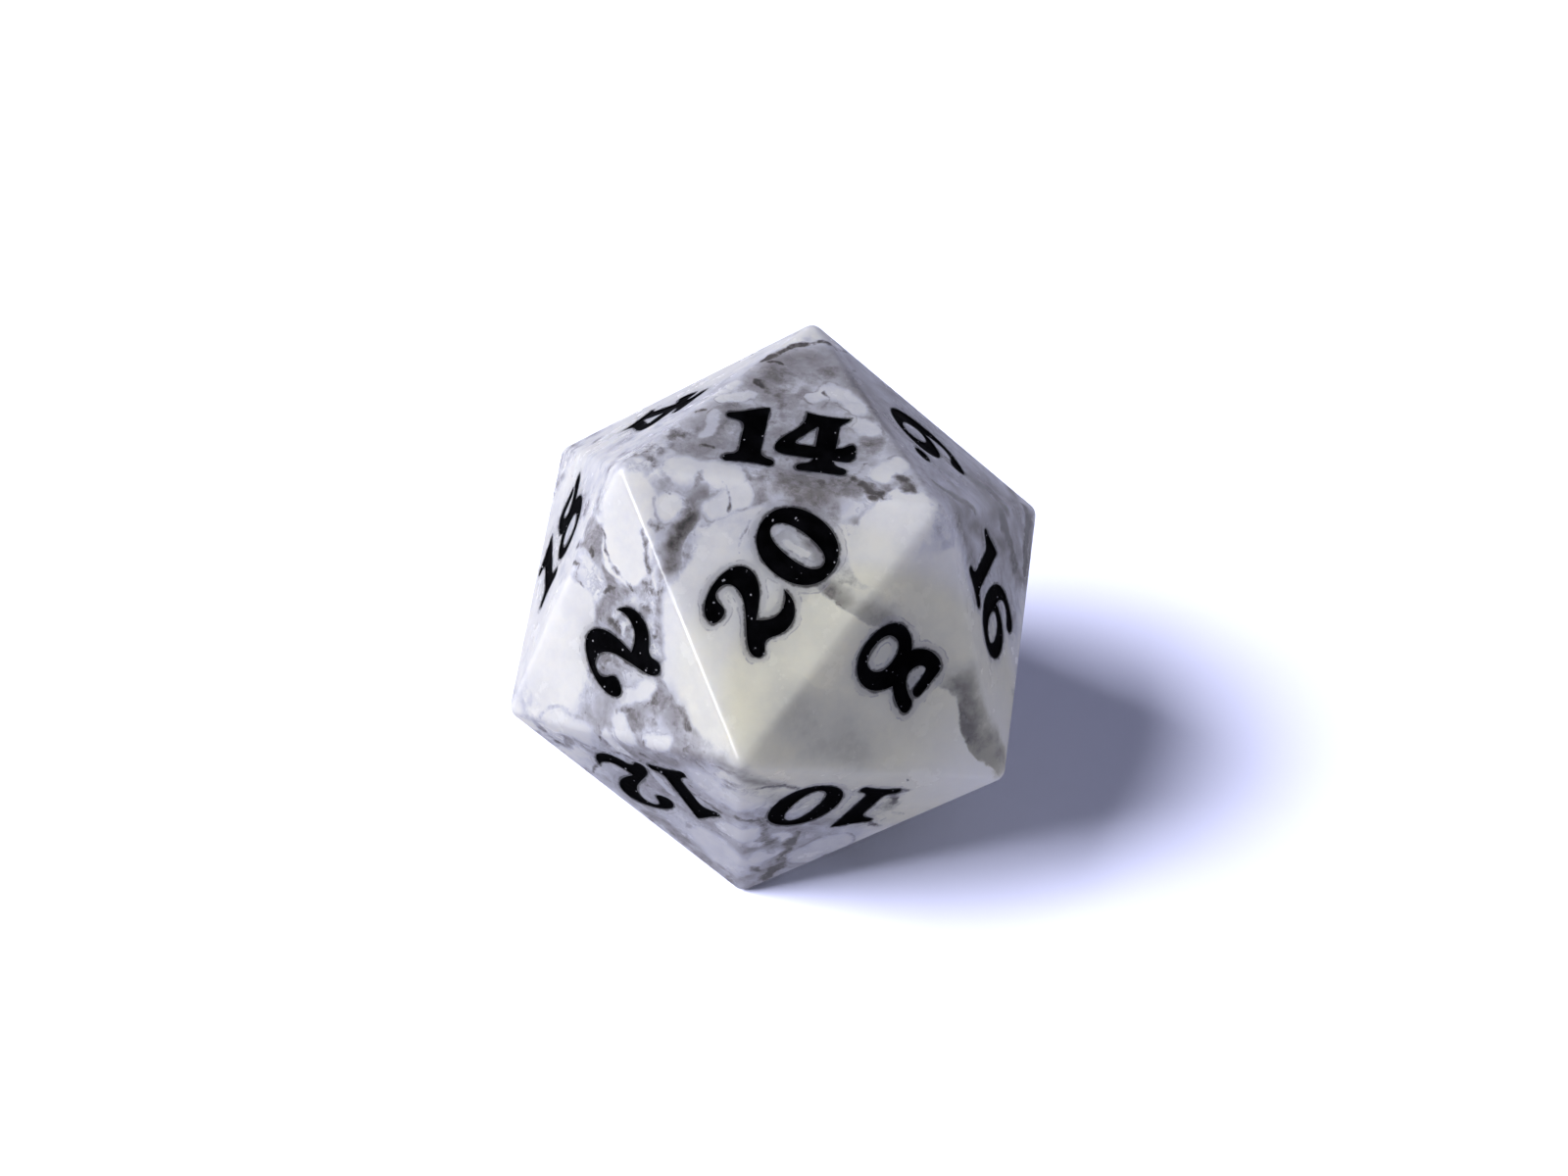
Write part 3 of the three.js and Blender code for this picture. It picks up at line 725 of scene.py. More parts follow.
# clean stone: the large ivory part, from low on the 20 over the 8 to the 10 and the 16, and white
# stone on the 2, the 4 and the 18
CLEAN = {
    20: [(1, 2.3, (-4.2, -1.6), (-2.2, 0.6), (0.3, 1)), (1, 3, (-4, -3.6), (-2.2, -3.6)),
         (1, 1.5, (5.4, -2.8), (3.6, -3))],
    8: [(1, 4.2, (0.5, -1.5), (0.6, 2.5)), (1, 2, (3.8, -3.6), (2.4, 1.5))],
    10: [(1, 1.7, (-4.6, -2.6), (-2, -4.2), (3.5, -4.7))],
    16: [(1, 1.9, (-3, -4.2), (1, -3.4), (4.2, -2.4)), (1, 1, (2.8, 0.4))],
    2: [(1, 3.1, (-3.4, -5), (-1.6, -5)), (1, 1.9, (0.6, 4.2), (2.2, 2.2)), (1, 1.2, (-2.3, -2.7)),
        (1, 1.6, (5, -3.4), (3.6, -2.5))],
    4: [(1, 2.4, (2.2, 2.6))], 18: [(1, 3, (-2.4, 0))],
}

# pale lumps with a grey rim
PEBBLES = {
    14: [(1, 0.75, (1.2, 2.9), (1.9, 2.7), (2.5, 2.2)), (1, 0.65, (2.6, 1.2), (3.2, 0.7)),
         (1, 1.1, (-4, -3.4), (-2.2, -3.4)), (1, 0.42, (-3.2, 1.5), (-2, 1.9)),
         (1, 0.5, (0.5, 2.5), (0.9, 2.7)), (0.9, 0.45, (-2.8, 2.5)), (1, 0.75, (4.6, -1.4), (4, -2.2)),
         (0.9, 0.5, (-3.2, 0.3), (-3.4, -0.9))],
    12: [(0.9, 1.7, (-1, 5), (-0.8, 3.6)), (0.9, 1.4, (-4.2, -0.8), (-3.4, -1.6)),
         (0.9, 0.5, (-0.4, -0.2), (-0.3, -1.2)), (1, 0.6, (0.6, -2.9), (0.8, -3.6)),
         (1, 0.8, (-2.7, 2), (-3.4, 2.6))],
    20: [(1, 0.8, (-0.1, 4.9), (0.2, 4.8)), (1, 0.7, (0.9, 3.5), (2.2, 3)),
         (0.9, 0.28, (1.65, 0.3), (1.6, -0.7))],
    2: [(1, 0.62, (-4.1, 0.5), (-4.2, -0.4)), (1, 0.5, (-2, 0.9), (-2, -0.9)),
        (0.9, 0.5, (-3.6, 1.6), (-2.7, 1.6)), (1, 1.2, (-1.6, 5.2), (-2.9, 4.2))],
    10: [(1, 1.2, (-1.1, 3.8), (-1.6, 2.8)), (1, 0.8, (1.3, 2.3), (1.9, 2.6)),
         (1, 0.8, (1.1, 4.3), (1, 3.9)), (0.8, 0.5, (-2.7, 0.2)), (0.8, 0.8, (4.2, -0.6), (5.2, -0.9))],
}

# soft grey smoke
SMOKE = {
    20: [(0.45, 0.8, (-0.6, 5.7), (-1, 5)), (0.6, 0.75, (1.1, 7.2), (1.2, 6.6)),
         (0.8, 1.6, (3.9, 1.6), (3.3, 0.2)), (0.4, 0.8, (1.4, 1.6), (2.6, 2.2)),
         (0.4, 1.2, (1.9, -2.4), (1.9, -3)), (0.55, 0.38, (2.1, -0.7), (1.9, -1.2))],
    14: [(0.6, 1.3, (1.8, -3.3), (2.6, -3)), (0.35, 1.2, (-1.2, 3.6), (-0.4, 4.4)),
         (0.4, 1, (0.6, 3.8), (1.2, 4.4)), (0.5, 1, (-3.4, -0.6), (-2.4, 0.8)),
         (0.4, 1, (3.2, -0.6), (3.6, 0.3)), (0.55, 0.6, (5.1, -2.4), (5.4, -3)),
         (0.3, 0.7, (-0.8, 1.9), (-0.4, 0.9))],
    2: [(0.6, 1, (-3, 0.8), (-2.9, -1.2)), (0.5, 0.7, (-4.6, -1.4), (-3, -1.5), (-1.6, -1.3)),
        (0.45, 0.6, (-3, 2.7), (-1.7, 2.6)), (0.75, 1.2, (4.9, -0.6), (4.2, -0.8), (3.2, -1.1)),
        (0.6, 0.9, (3.2, -1.1), (2, -1), (1.7, 0)), (0.6, 0.8, (2, -1), (2.4, -2), (1.9, -2.4)),
        (0.55, 0.9, (2.4, -3.1), (2.8, -3.8)), (0.6, 0.8, (0.8, -3.3), (0, -2.6), (-0.5, -2.4)),
        (0.22, 0.6, (0, 5.8), (-0.6, 4), (-0.2, 2.6))],
    12: [(0.6, 0.65, (-6, -3.2), (-3.2, -3.2), (-0.4, -2.8)),
         (0.75, 1.1, (2.2, 2.3), (1.5, 3), (1.1, 4.6), (1, 5.8)),
         (0.35, 0.7, (-4.4, 0.4), (-3, 0.8), (-2.2, 1.6)), (0.45, 0.7, (4.3, -0.2), (3.4, 0.2))],
    10: [(0.5, 0.8, (-0.2, 6.8), (0.3, 5), (0.6, 4)), (0.3, 1, (2.4, 2.2), (4, 0.8)),
         (0.4, 0.7, (-2.4, -0.9), (-2.3, -2))],
    16: [(0.7, 1.1, (-5.6, -2), (-3.6, -1.6), (-2, -1.8))], 18: [(0.35, 1, (2.4, 0.6), (2.7, -1.6))],
    4: [(0.3, 1.6, (-2.4, 0.2), (-3.6, -1.5))],
}

# fine dark veins
VEINS = {
    20: [(0.45, 0.4, (1.9, 4.8), (1.1, 4.55), (0.1, 4.15)),
         (0.5, 0.35, (0.4, 4.25), (-0.6, 3.85), (-1.3, 3.6)), (0.45, 0.35, (-1.5, 3.6), (-2.2, 3.2)),
         (0.5, 0.4, (-1.1, 5.2), (-0.9, 4.5), (-1.3, 4)), (0.4, 0.14, (0.4, 5.3), (0.7, 4.7), (0.5, 4.3)),
         (0.5, 0.14, (2, 4), (1.8, 3.3), (1.2, 2.9)), (0.4, 0.12, (0.2, 1.4), (0.8, 1.8), (1.4, 1.95)),
         (0.45, 0.22, (1.1, -2.1), (0.95, -2.8), (1, -3.8)), (0.8, 0.4, (5.3, -1.2), (5.7, -1.7))],
    14: [(0.95, 0.3, (-1.9, 4.4), (-1, 5.3), (-0.2, 5.8), (0.6, 6.2), (1.1, 6.4)),
         (0.85, 0.28, (-1.5, 4.4), (-0.9, 4.4)), (0.8, 0.3, (-1.8, 2.9), (-1.75, 2.6)),
         (0.75, 0.3, (-3.6, -1.75), (-3, -1.8)), (0.7, 0.18, (-2.6, -1.75)), (0.6, 0.2, (0.35, 4.6)),
         (0.5, 0.22, (1.4, 4.5), (1.9, 4.2)), (0.85, 0.5, (3.3, -3), (3.9, -3.4)),
         (0.7, 0.4, (2.6, -2.4), (3.1, -2.8)), (0.85, 0.55, (4.8, -2.4), (5.2, -2.9)),
         (0.5, 0.2, (2.5, -2.6), (3.2, -2.2), (3.2, -1.6)), (0.45, 0.16, (1, 3), (1.25, 2.4), (1.1, 1.9)),
         (0.5, 0.2, (-4.1, 0.3), (-3.8, 0.5))],
    2: [(0.55, 0.2, (-3.4, 3), (-1.9, 2.9), (-1.3, 2.3)), (0.6, 0.25, (-1.7, 3.4), (-1.7, 3.1)),
        (0.55, 0.22, (-2.4, 1.6), (-2.6, 0.4), (-2.5, -0.9)),
        (0.6, 0.22, (-0.2, -2), (0.6, -2.8), (1.4, -3.5)), (0.55, 0.3, (1.3, -3), (2.4, -3.3), (4, -3.7)),
        (0.6, 0.22, (1.4, 0.3), (2, -0.2), (2.2, -0.9)), (0.8, 0.3, (3.9, -0.6), (4.3, -0.5)),
        (0.5, 0.13, (3, 0.7), (3.6, 0.8), (4.1, 0.4)),
        (0.55, 0.2, (2, -2), (2.8, -1.6), (3.8, -1.3), (4.8, -1.4))],
    12: [(0.65, 0.32, (-1.4, -1.2), (-2, -0.5), (-2.8, 0.3), (-3.1, 0.7)),
         (0.55, 0.2, (-0.9, -2.3), (0.6, -2.5), (2.2, -2.2), (3.2, -1), (4, -0.2)),
         (0.55, 0.24, (1.2, -3.8), (1.8, -2.9), (2.6, -2.3)),
         (0.45, 0.22, (-1.6, -4.2), (-0.7, -3.2), (-0.2, -2.6)), (0.5, 0.3, (2, 3.6), (2.6, 2.9)),
         (0.5, 0.2, (-2.4, -0.6), (-1.8, -2.2))],
    10: [(0.75, 0.55, (-0.3, 6.4), (-0.3, 4.9), (0.3, 3.2), (0.6, 1.9)),
         (0.6, 0.45, (0.2, 5.6), (0.9, 5.2)), (0.65, 0.55, (1, 3.3), (2.4, 1.6), (3.1, 0.8), (5, 1)),
         (0.75, 0.3, (3, -2.1), (3.9, -2.4), (4.9, -2)), (0.5, 0.2, (-3.8, 0), (-2.9, -0.6), (-2.2, -1)),
         (0.8, 0.35, (-3.2, 0.9), (-2.7, 0.8)), (0.65, 0.35, (-2.6, -1.1), (-2.1, -1.6), (-2.3, -2.4)),
         (0.4, 0.12, (0.8, -1), (1.4, -1.3), (2, -1.2))],
    16: [(0.95, 0.8, (-2.9, 3.1), (-1.7, 3), (-0.7, 3.2), (0.4, 3.2)),
         (0.95, 0.7, (-0.8, 6.3), (-0.2, 6), (0.4, 5.1), (1.2, 4.3)),
         (0.3, 0.25, (-6.6, -3.2), (-5.2, -2.2), (-4, -1.9))],
    6: [(0.95, 0.7, (0.7, 0.8), (1, 2), (1.3, 3.3), (2.4, 3.8)),
        (0.8, 0.6, (4.3, -2.6), (4.5, -0.1), (5.4, 0.6)), (0.5, 0.28, (-5.2, -2.6), (-4.8, -3.6)),
        (0.5, 0.24, (-3.6, -2.8), (-2.6, -3.9))],
    18: [(0.6, 0.3, (1.8, -2.8), (2.6, -3.6), (3.2, -4.4)), (0.5, 0.2, (1.4, -3.4), (2, -4.4))],
    4: [(0.6, 0.4, (-1, 4), (-0.4, 4.2))],
}

# soft shades with one crisp side: each cut takes away what it covers
SHADES = {
    20: [(0.85, 0.85, (1.5, 4.35), (0.3, 4.15), (-1.2, 3.8), (-2.2, 3.3)),
         (0.35, 1, (1.2, 5.3), (0.2, 5), (-1, 4.4)), (0.62, 1.3, (4.1, 1), (3.6, 0.7)),
         (0.8, 1.1, (1, -2.2), (1.1, -3)), (0.5, 1.2, (1.1, -3), (1.2, -4.2)),
         (0.3, 0.9, (1.7, 1), (1.9, -1)), (0.9, 0.8, (2.25, -0.6), (2, -1.3))],
    8: [(0.68, 1.8, (-0.3, 6.6), (-0.5, 5), (-1, 3.6), (-1.3, 2.7)),
        (0.28, 2.6, (3.8, -3.2), (3.6, -1.4), (3.1, 0)), (0.6, 1.2, (-1.2, -3.8), (-1.5, -2.6)),
        (0.3, 0.9, (-0.4, 0.6), (-0.3, -1.6))],
    14: [(0.5, 1.6, (-0.8, 4.6), (0.4, 5.2), (1.2, 5.4)),
         (0.5, 1.3, (1.5, 5.3), (2.7, 3.6), (3.6, 2), (4.3, 0.6)), (0.55, 1.9, (1, -2.8), (1.6, -3.8))],
    2: [(0.5, 1.2, (-2.7, 0.3), (-2.8, -1.2)), (0.5, 1.2, (-4.8, -1), (-3.6, -1.5)),
        (0.62, 1, (-3.9, 1.2), (-5.6, -1.7), (-6.4, -3)), (0.45, 1, (-1.6, 2.4), (-2.6, 3))],
    12: [(0.6, 1, (1.8, -3.3), (-1.4, -2.7), (-3.6, -3.2))],
    10: [(0.55, 0.8, (6.4, -3.2), (5.5, -2.6), (4.2, -2.3))],
    16: [(0.72, 1.3, (-5.4, -2), (-2.8, -1.6), (-1.7, -1.9)),
         (0.7, 1.1, (-6, 0), (-4.4, -1.6), (-2.8, 0.6), (-1.3, 2.2)),
         (0.72, 0.8, (-0.9, 6.3), (-0.1, 6.4), (1, 5.4), (1.6, 4.2), (0.9, 3.2))],
    6: [(0.75, 0.9, (0.9, 2.2), (1.7, 2.7), (3.2, 2.3), (7, 0.4)),
        (0.72, 0.7, (-0.5, 5.9), (1.2, 5.6), (3.4, 4.4), (7, 2.4)),
        (0.42, 1.6, (-4.4, -2.6), (-3.2, -2.7), (0.5, -3.4), (3.4, -3.6))],
}

# what the shades leave out
CUTS = {
    20: [(1, 1.45, (1.6, 2.45), (0.3, 2.35), (-0.4, 2.2), (-1.2, 1.8)), (1, 1.2, (2.4, 3), (1.9, 2)),
         (1, 1.7, (-0.7, -2.2), (-0.7, -4))],
    8: [(1, 1.7, (1.6, 6.8), (1.6, 5.2), (1.2, 3.9), (0.5, 2.2)), (1, 1.5, (0.5, -3.9), (0.3, -2.4))],
    14: [(1, 1.15, (-2.4, 5.7), (-1.6, 6.4), (0, 7.3), (0.8, 7.6)), (1, 1.5, (-1.9, -2.9), (-1.4, -4.2)),
         (1, 1, (0.8, 2.3), (2.4, 1.2), (3, 0.2))],
    16: [(1, 1, (-5, -4.2), (-1.6, -3.8)), (1, 0.7, (-0.2, 4.6), (-1.6, 4.6), (-3.8, 4.2))],
    6: [(1, 0.8, (1, 4.3), (3.2, 3.6))],
}

# stone without the pattern that runs through the rest
PLAIN = {
    8: [(1, 8, (0, 0))], 16: [(1, 7.5, (-1, 1))], 6: [(1, 7.5, (0, 0))],
    10: [(0.4, 5.5, (0, 2)), (1, 3.5, (-3, -3.5), (3, -4.5))], 4: [(0.6, 6, (0, 0))],
    18: [(0.7, 6, (0, 0))],
}

# tiny dark pits
PITS = {
    2: [(1, 0.11, (1.45, 3.85)), (0.9, 0.09, (1.4, 3.6))],
    8: [(0.8, 0.08, (2.3, 5.5)), (0.7, 0.08, (2.7, 3.5))],
    10: [(0.9, 0.1, (-4.6, -1.9), (-4.5, -2)), (0.8, 0.09, (-1.95, -3.2), (-1.9, -3.4))],
    20: [(0.6, 0.07, (-4.9, -2.5), (-4.8, -2.6))],
}

WHITE = (0.85, 0.845, 0.825, 1)
MILKY = (0.61, 0.62, 0.685, 1)
GREY = (0.37, 0.36, 0.39, 1)
BROWN = (0.18, 0.168, 0.165, 1)
DARK = (0.05, 0.047, 0.045, 1)
# painted shade: the bluish grey that darkens the stone round the digits
MARGIN_SHADE = (0.44, 0.44, 0.48, 1)
# painted light: the near white that brightens the stone near the lower right corner of the 8
PAINTED_GLOW = (0.92, 0.92, 0.91, 1)
WHITE_STONE = [(0, WHITE), (0.25, MILKY), (0.55, GREY), (0.8, BROWN), (1, DARK)]
IVORY_STONE = [
    (0, (0.85, 0.83, 0.69, 1)), (0.25, (0.66, 0.655, 0.575, 1)), (0.55, (0.4, 0.39, 0.34, 1)),
    (0.8, BROWN), (1, DARK),
]
# Where the stone is ivory, where light is painted near a corner, where it lies in thin layers and where it
# is hazy.
IVORY_PART = {8: [(1, 6.8, (1.6, -1), (0.5, 3.6))], 20: [(0.4, 4.6, (-3.2, -2.6), (0.4, -3.2))]}
PAINTED_GLOW_PART = {8: [(0.9, 5.5, (0.3, 6.8))]}
FLOW_PART = {
    6: [(1, 5.5, (0, 1), (2, -2))], 16: [(1, 5.5, (-2, 2))], 10: [(1, 5, (2, 3))],
    12: [(1, 5, (-1, 2))],
}
HAZE = {
    14: [(1.2, 6.5, (0, 1), (0, -1))], 6: [(1.3, 6.5, (0, 0))], 16: [(1.3, 6, (-2, 3))],
    10: [(1, 5, (0, 4))], 12: [(1, 6, (0, 0))], 2: [(0.4, 2.6, (-2, 0.6))],
}
# The layers: middle of their shells, thickness of one, changes along a shell, detail, roughness.
FLOW_LAYERS = ((3.5, -4, 3), 0.9, 2.2, 5, 0.6)
# Near this place, on the side the photo shows, the general pattern is everywhere at full strength.
# Beyond the inner distance calm stretches appear in it.
FULL_CENTRE = (0, -7, 7)
FULL_INNER = 10.5
FULL_OUTER = 14.5
FULL_STRENGTH = 0.85

# Each noise: size in mm, detail, roughness, then the span that is stretched and what it becomes.
CLOUD = (1.5, 9, 0.62, 0.34, 0.66)                  # tears the smoke
GRAIN = (0.7, 9, 0.62, 0.34, 0.66)                  # tears the veins
VARIED = (2, 3, 0.55, 0.36, 0.6)                    # how grey the gaps between pebbles are
PATCHES = (2.6, 9, 0.62, 0.45, 0.65, 0, 0.48)       # grey patches
CALM = (7, 2, 0.55, 0.42, 0.58, 0.12, 1)            # weakens the general pattern in places
STREAKS = (0.5, 6, 0.7, 0.35, 0.65, 0.72, 1.12)     # makes every stain uneven
FAINT = (2.5, 9, 0.66, 0.36, 0.66, 0, 0.2)          # clouds in clean stone
POLISH = (1.6, 6, 0.6, 0.3, 0.7, 0.17, 0.3)         # roughness of the surface
# Each warp: size in mm, reach in mm, detail.
WAVY = (1.7, 0.42, 7)
PUSHED = (2.2, 0.7, 7)
PEBBLE_SIZE = 1.8
THREADS = (2.2, 7, 0.62)           # noise whose middle value draws thin lines
THREAD_WIDTH = 0.03
THREAD_STRENGTH = 0.4
# Each tear: reach of the noise, the span of the torn stroke, and its strength.
TORN_SMOKE = (0.6, 0, 0.68, 0.62)
TORN_VEINS = (0.4, 0, 0.75, 0.88)
TORN_GAPS = (0.9, 0.1, 1.2, 0.85)
ENVELOPE_EDGE = 0.12               # below this strength a torn stroke fades to nothing

# Each fade: where it starts and ends, then the strengths there if they are not 0 and 1.
GAP_FADE = (0.5, 0)                # mm from the edge of a pebble
FLOW_FADE = (0.42, 0.64, 0, 0.52)
HALO_FADE = (0, 0.4, 0, 0.3)       # faint grey along a vein
SHADE_CLOUDS = (0, 1, 0.75, 1.15)
RIM_OUTSIDE = (0, 0.2)
RIM_INSIDE = (0.75, 0.3)
RIM_GRAIN = (0, 1, 0.05, 0.4)
PAINTED_GLOW_FADE = (0.4, 0.1)             # the painted light shows only where there is no stain
HAZE_LEAST = 0.5                   # share of the faint clouds outside the haze
HAZE_TINT = 0.15
# Painted shade around the digits, in mm from the paint.
MARGIN_CLOUDS = (1.1, 3)           # noise: size in mm, detail
MARGIN_WIDTH = 0.6
MARGIN_FADE = (0.02, -0.12, 0, 0.34)
# the thin line of painted shade at the crease of the rim
CREASE_SHADE_OUTSIDE = (0.05, 0)
CREASE_SHADE_INSIDE = (-0.06, -0.02)
CREASE_SHADE_GRAIN = (0.2, 0.9, 0, 0.65)
# the dark band at the paint's edge: paint crept onto the stone, and painted shade at the mouth of the
# recess
CREEP_AND_SHADE_WIDTH = 0.1
CREEP_AND_SHADE_FADE = (0.09, -0.02, 0, 0.85)

SUBSURFACE_WEIGHT = 0.85
SUBSURFACE_RADIUS = (1, 0.95, 0.85)
SUBSURFACE_SCALE = 2.6             # mm
STONE_RELIEF = (0.9, 5, 0.01)      # lumps' size in mm, detail, depth in mm


def torn(shader, envelope, cloud, reach, low, high, most):
    """A soft stroke torn up by a cloudy noise, so that its edge turns ragged and smoky."""
    offset = shader.times(shader.minus(cloud, NOISE_MIDDLE), reach)
    inside_only = shader.step(envelope, 0, ENVELOPE_EDGE, 0, most)
    return shader.times(shader.step(shader.plus(envelope, offset), low, high), inside_only)


def general_pattern(shader, place, grain):
    """Pebbles with grey stone between them, patches and threads, all through the stone."""
    pushed = shader.displaced(place, *PUSHED)
    gaps = shader.cells(pushed, PEBBLE_SIZE, "DISTANCE_TO_EDGE")
    varied = shader.clouds(place, *VARIED)
    between = shader.times(torn(shader, shader.step(gaps, *GAP_FADE), grain, *TORN_GAPS), varied)
    lines = shader.math("ABSOLUTE", shader.minus(shader.noise(pushed, *THREADS), NOISE_MIDDLE))
    threads = shader.times(shader.step(lines, THREAD_WIDTH, 0.0), THREAD_STRENGTH)
    pattern = shader.highest(between, shader.clouds(pushed, *PATCHES), threads)
    away = shader.vector("DISTANCE", place, FULL_CENTRE, "Value")
    full = shader.step(away, FULL_OUTER, FULL_INNER, 0.0, FULL_STRENGTH)
    strength = shader.highest(full, shader.clouds(place, *CALM))
    plain = shader.strokes(place, PLAIN, core=0.6)
    return shader.times(shader.times(pattern, strength), shader.rest(plain))


def soft_shades(shader, wavy, pebbles, cloud):
    cut = shader.highest(shader.strokes(wavy, CUTS, core=0.9), pebbles)
    shades = shader.times(shader.strokes(wavy, SHADES), shader.rest(cut))
    return shader.times(shades, shader.step(cloud, *SHADE_CLOUDS))


def pebble_rims(shader, pebbles, grain):
    rim = shader.times(shader.step(pebbles, *RIM_OUTSIDE), shader.step(pebbles, *RIM_INSIDE))
    return shader.times(rim, shader.step(grain, *RIM_GRAIN))


def with_haze(shader, place, stain, pebbles):
    """Adds a faint haze where the stain leaves room for it."""
    haze = shader.strokes(place, HAZE, core=0.3)
    faint = shader.times(shader.clouds(place, *FAINT), shader.plus(haze, HAZE_LEAST))
    extra = shader.plus(faint, shader.times(haze, HAZE_TINT))
    room = shader.rest(shader.highest(stain, shader.times(pebbles, 0.5)))
    return shader.plus(stain, shader.times(extra, room))


def stain_of_stone(shader, place, wavy, grain):
    """How stained the stone is, from 0 on clean stone to 1 in the darkest vein."""
    cloud = shader.clouds(place, *CLOUD)
    clean = shader.strokes(wavy, CLEAN, core=0.86)
    pebbles = shader.strokes(wavy, PEBBLES, core=0.45)
    shades = soft_shades(shader, wavy, pebbles, cloud)
    smoke = torn(shader, shader.strokes(wavy, SMOKE), cloud, *TORN_SMOKE)
    line = shader.strokes(wavy, VEINS)
    halo = shader.step(line, *HALO_FADE)
    veins = torn(shader, line, grain, *TORN_VEINS)
    general = general_pattern(shader, place, grain)
    flow = shader.layers(wavy, *FLOW_LAYERS)
    flow = shader.times(shader.step(flow, *FLOW_FADE), shader.strokes(place, FLOW_PART, core=0.6))

    stain = shader.highest(shader.highest(general, flow), shader.highest(smoke, halo))
    stain = shader.times(stain, shader.clouds(wavy, *STREAKS))
    stain = shader.times(stain, shader.rest(shader.highest(clean, pebbles)))
    rims = pebble_rims(shader, pebbles, grain)
    stain = shader.highest(shader.highest(stain, shades), shader.highest(rims, veins))
    return with_haze(shader, place, stain, pebbles)


def colour_of_stone(shader, place, wavy, stain):
    ivory = shader.strokes(place, IVORY_PART, core=0.75)
    colour = shader.mix(ivory, shader.ramp(stain, WHITE_STONE), shader.ramp(stain, IVORY_STONE))
    # painted light: the stone is whitened near the lower right corner of the 8, where light gathers in the
    # corner
    painted_glow = shader.times(shader.strokes(place, PAINTED_GLOW_PART), shader.step(stain, *PAINTED_GLOW_FADE))
    colour = shader.mix(painted_glow, colour, PAINTED_GLOW)
    return shader.mix(shader.strokes(wavy, PITS, core=0.4), colour, DARK)


def with_margins(shader, place, grain, colour):
    """Adds painted shade round the digits: a milky margin, a thin line at the rim and a dark edge band."""
    margin = distance_to_paint(shader)
    uneven = shader.times(shader.noise(place, *MARGIN_CLOUDS), MARGIN_WIDTH)
    reach = shader.minus(margin, uneven)
    # painted shade: the stone turns bluish grey near the paint, where light is lost into the paint and the
    # rim slopes away
    colour = shader.mix(shader.step(reach, *MARGIN_FADE), colour, MARGIN_SHADE)
    # painted shade: a thin grey line along the crease where the sloped rim meets the face
    contour = shader.times(shader.step(reach, *CREASE_SHADE_OUTSIDE), shader.step(reach, *CREASE_SHADE_INSIDE))
    colour = shader.mix(shader.times(contour, shader.step(grain, *CREASE_SHADE_GRAIN)), colour, GREY)
    # a dark band right at the paint's edge: partly paint crept onto the stone, partly painted shade at the
    # mouth of the recess
    creep_and_shade = shader.minus(margin, shader.times(grain, CREEP_AND_SHADE_WIDTH))
    return shader.mix(shader.step(creep_and_shade, *CREEP_AND_SHADE_FADE), colour, DARK)


def make_stone():
    material, shader, surface = new_material("veined_stone")
    place = place_in_die(shader)
    wavy = shader.displaced(place, *WAVY)
    grain = shader.clouds(wavy, *GRAIN)
    stain = stain_of_stone(shader, place, wavy, grain)
    colour = colour_of_stone(shader, place, wavy, stain)
    shader.feed(surface, {
        "Base Color": with_margins(shader, place, grain, colour),
        "Roughness": shader.clouds(place, *POLISH),
        "Subsurface Weight": SUBSURFACE_WEIGHT,
        "Subsurface Radius": SUBSURFACE_RADIUS,
        "Subsurface Scale": SUBSURFACE_SCALE * MM,
        "Normal": shader.relief(place, *STONE_RELIEF),
    })
    return material


# ------------ the paint

PAINT_BLACK = (0.0008, 0.0008, 0.001, 1)
PAINT_WORN = (0.004, 0.004, 0.005, 1)
PAINT_SHINE = 0.003
PAINT_WEAR = (1.2, 6, 0.6)         # noise: size in mm, detail, roughness
WEAR_COLOUR = (0.35, 0.7)          # span of the noise from black to worn
WEAR_ROUGHNESS = (0.3, 0.7, 0.45, 0.7)
PAINT_RELIEF = (0.35, 5, 0.03)     # lumps' size in mm, detail, depth in mm
DUST = (0.42, 0.42, 0.45, 1)
SPECK_SPACING = 0.3
SPECK_RADIUS = 0.06
SPECK_WARP = (0.3, 0.04)           # size and reach in mm
DUST_EDGE = (0.35, 0.05, 0, 0.12)  # more dust nearer to an outline: mm away, how much more
DUST_CLOUDS = (0.4, 3)             # noise: size in mm, detail
DUST_SPAN = (0.57, 0.68)           # specks show where the sum of both lies above this
SCRATCHES = {
    10: [(1, 0.06, (2.75, -0.2), (2.9, -0.7), (2.85, -1.2)), (1, 0.05, (2.3, 0.9), (2.6, 0.5))],
    20: [(0.8, 0.05, (2.75, 0.4), (2.8, -0.3))],
}


def dust_on_paint(shader, place):
    """Specks in some places, mostly near the outlines, and the scratches."""
    speck = shader.cells(shader.displaced(place, *SPECK_WARP), SPECK_SPACING, "F1")
    speck = shader.step(speck, SPECK_RADIUS, SPECK_RADIUS / 3)
    near_edge = shader.step(distance_to_paint(shader), *DUST_EDGE)
    dusty = shader.plus(near_edge, shader.noise(place, *DUST_CLOUDS))
    dust = shader.times(speck, shader.step(dusty, *DUST_SPAN))
    return shader.highest(dust, shader.strokes(place, SCRATCHES, core=0.2))


def make_paint():
    """Matt black paint with dust in it, a few scratches and an uneven surface."""
    material, shader, surface = new_material("black_paint")
    place = place_in_die(shader)
    wear = shader.noise(place, *PAINT_WEAR)
    colour = shader.mix(shader.step(wear, *WEAR_COLOUR), PAINT_BLACK, PAINT_WORN)
    colour = shader.mix(dust_on_paint(shader, place), colour, DUST)
    shader.feed(surface, {
        "Base Color": colour,
        "Roughness": shader.step(wear, *WEAR_ROUGHNESS),
        "Specular IOR Level": PAINT_SHINE,
        "Normal": shader.relief(place, *PAINT_RELIEF),
    })
    return material


# ------------ pieces

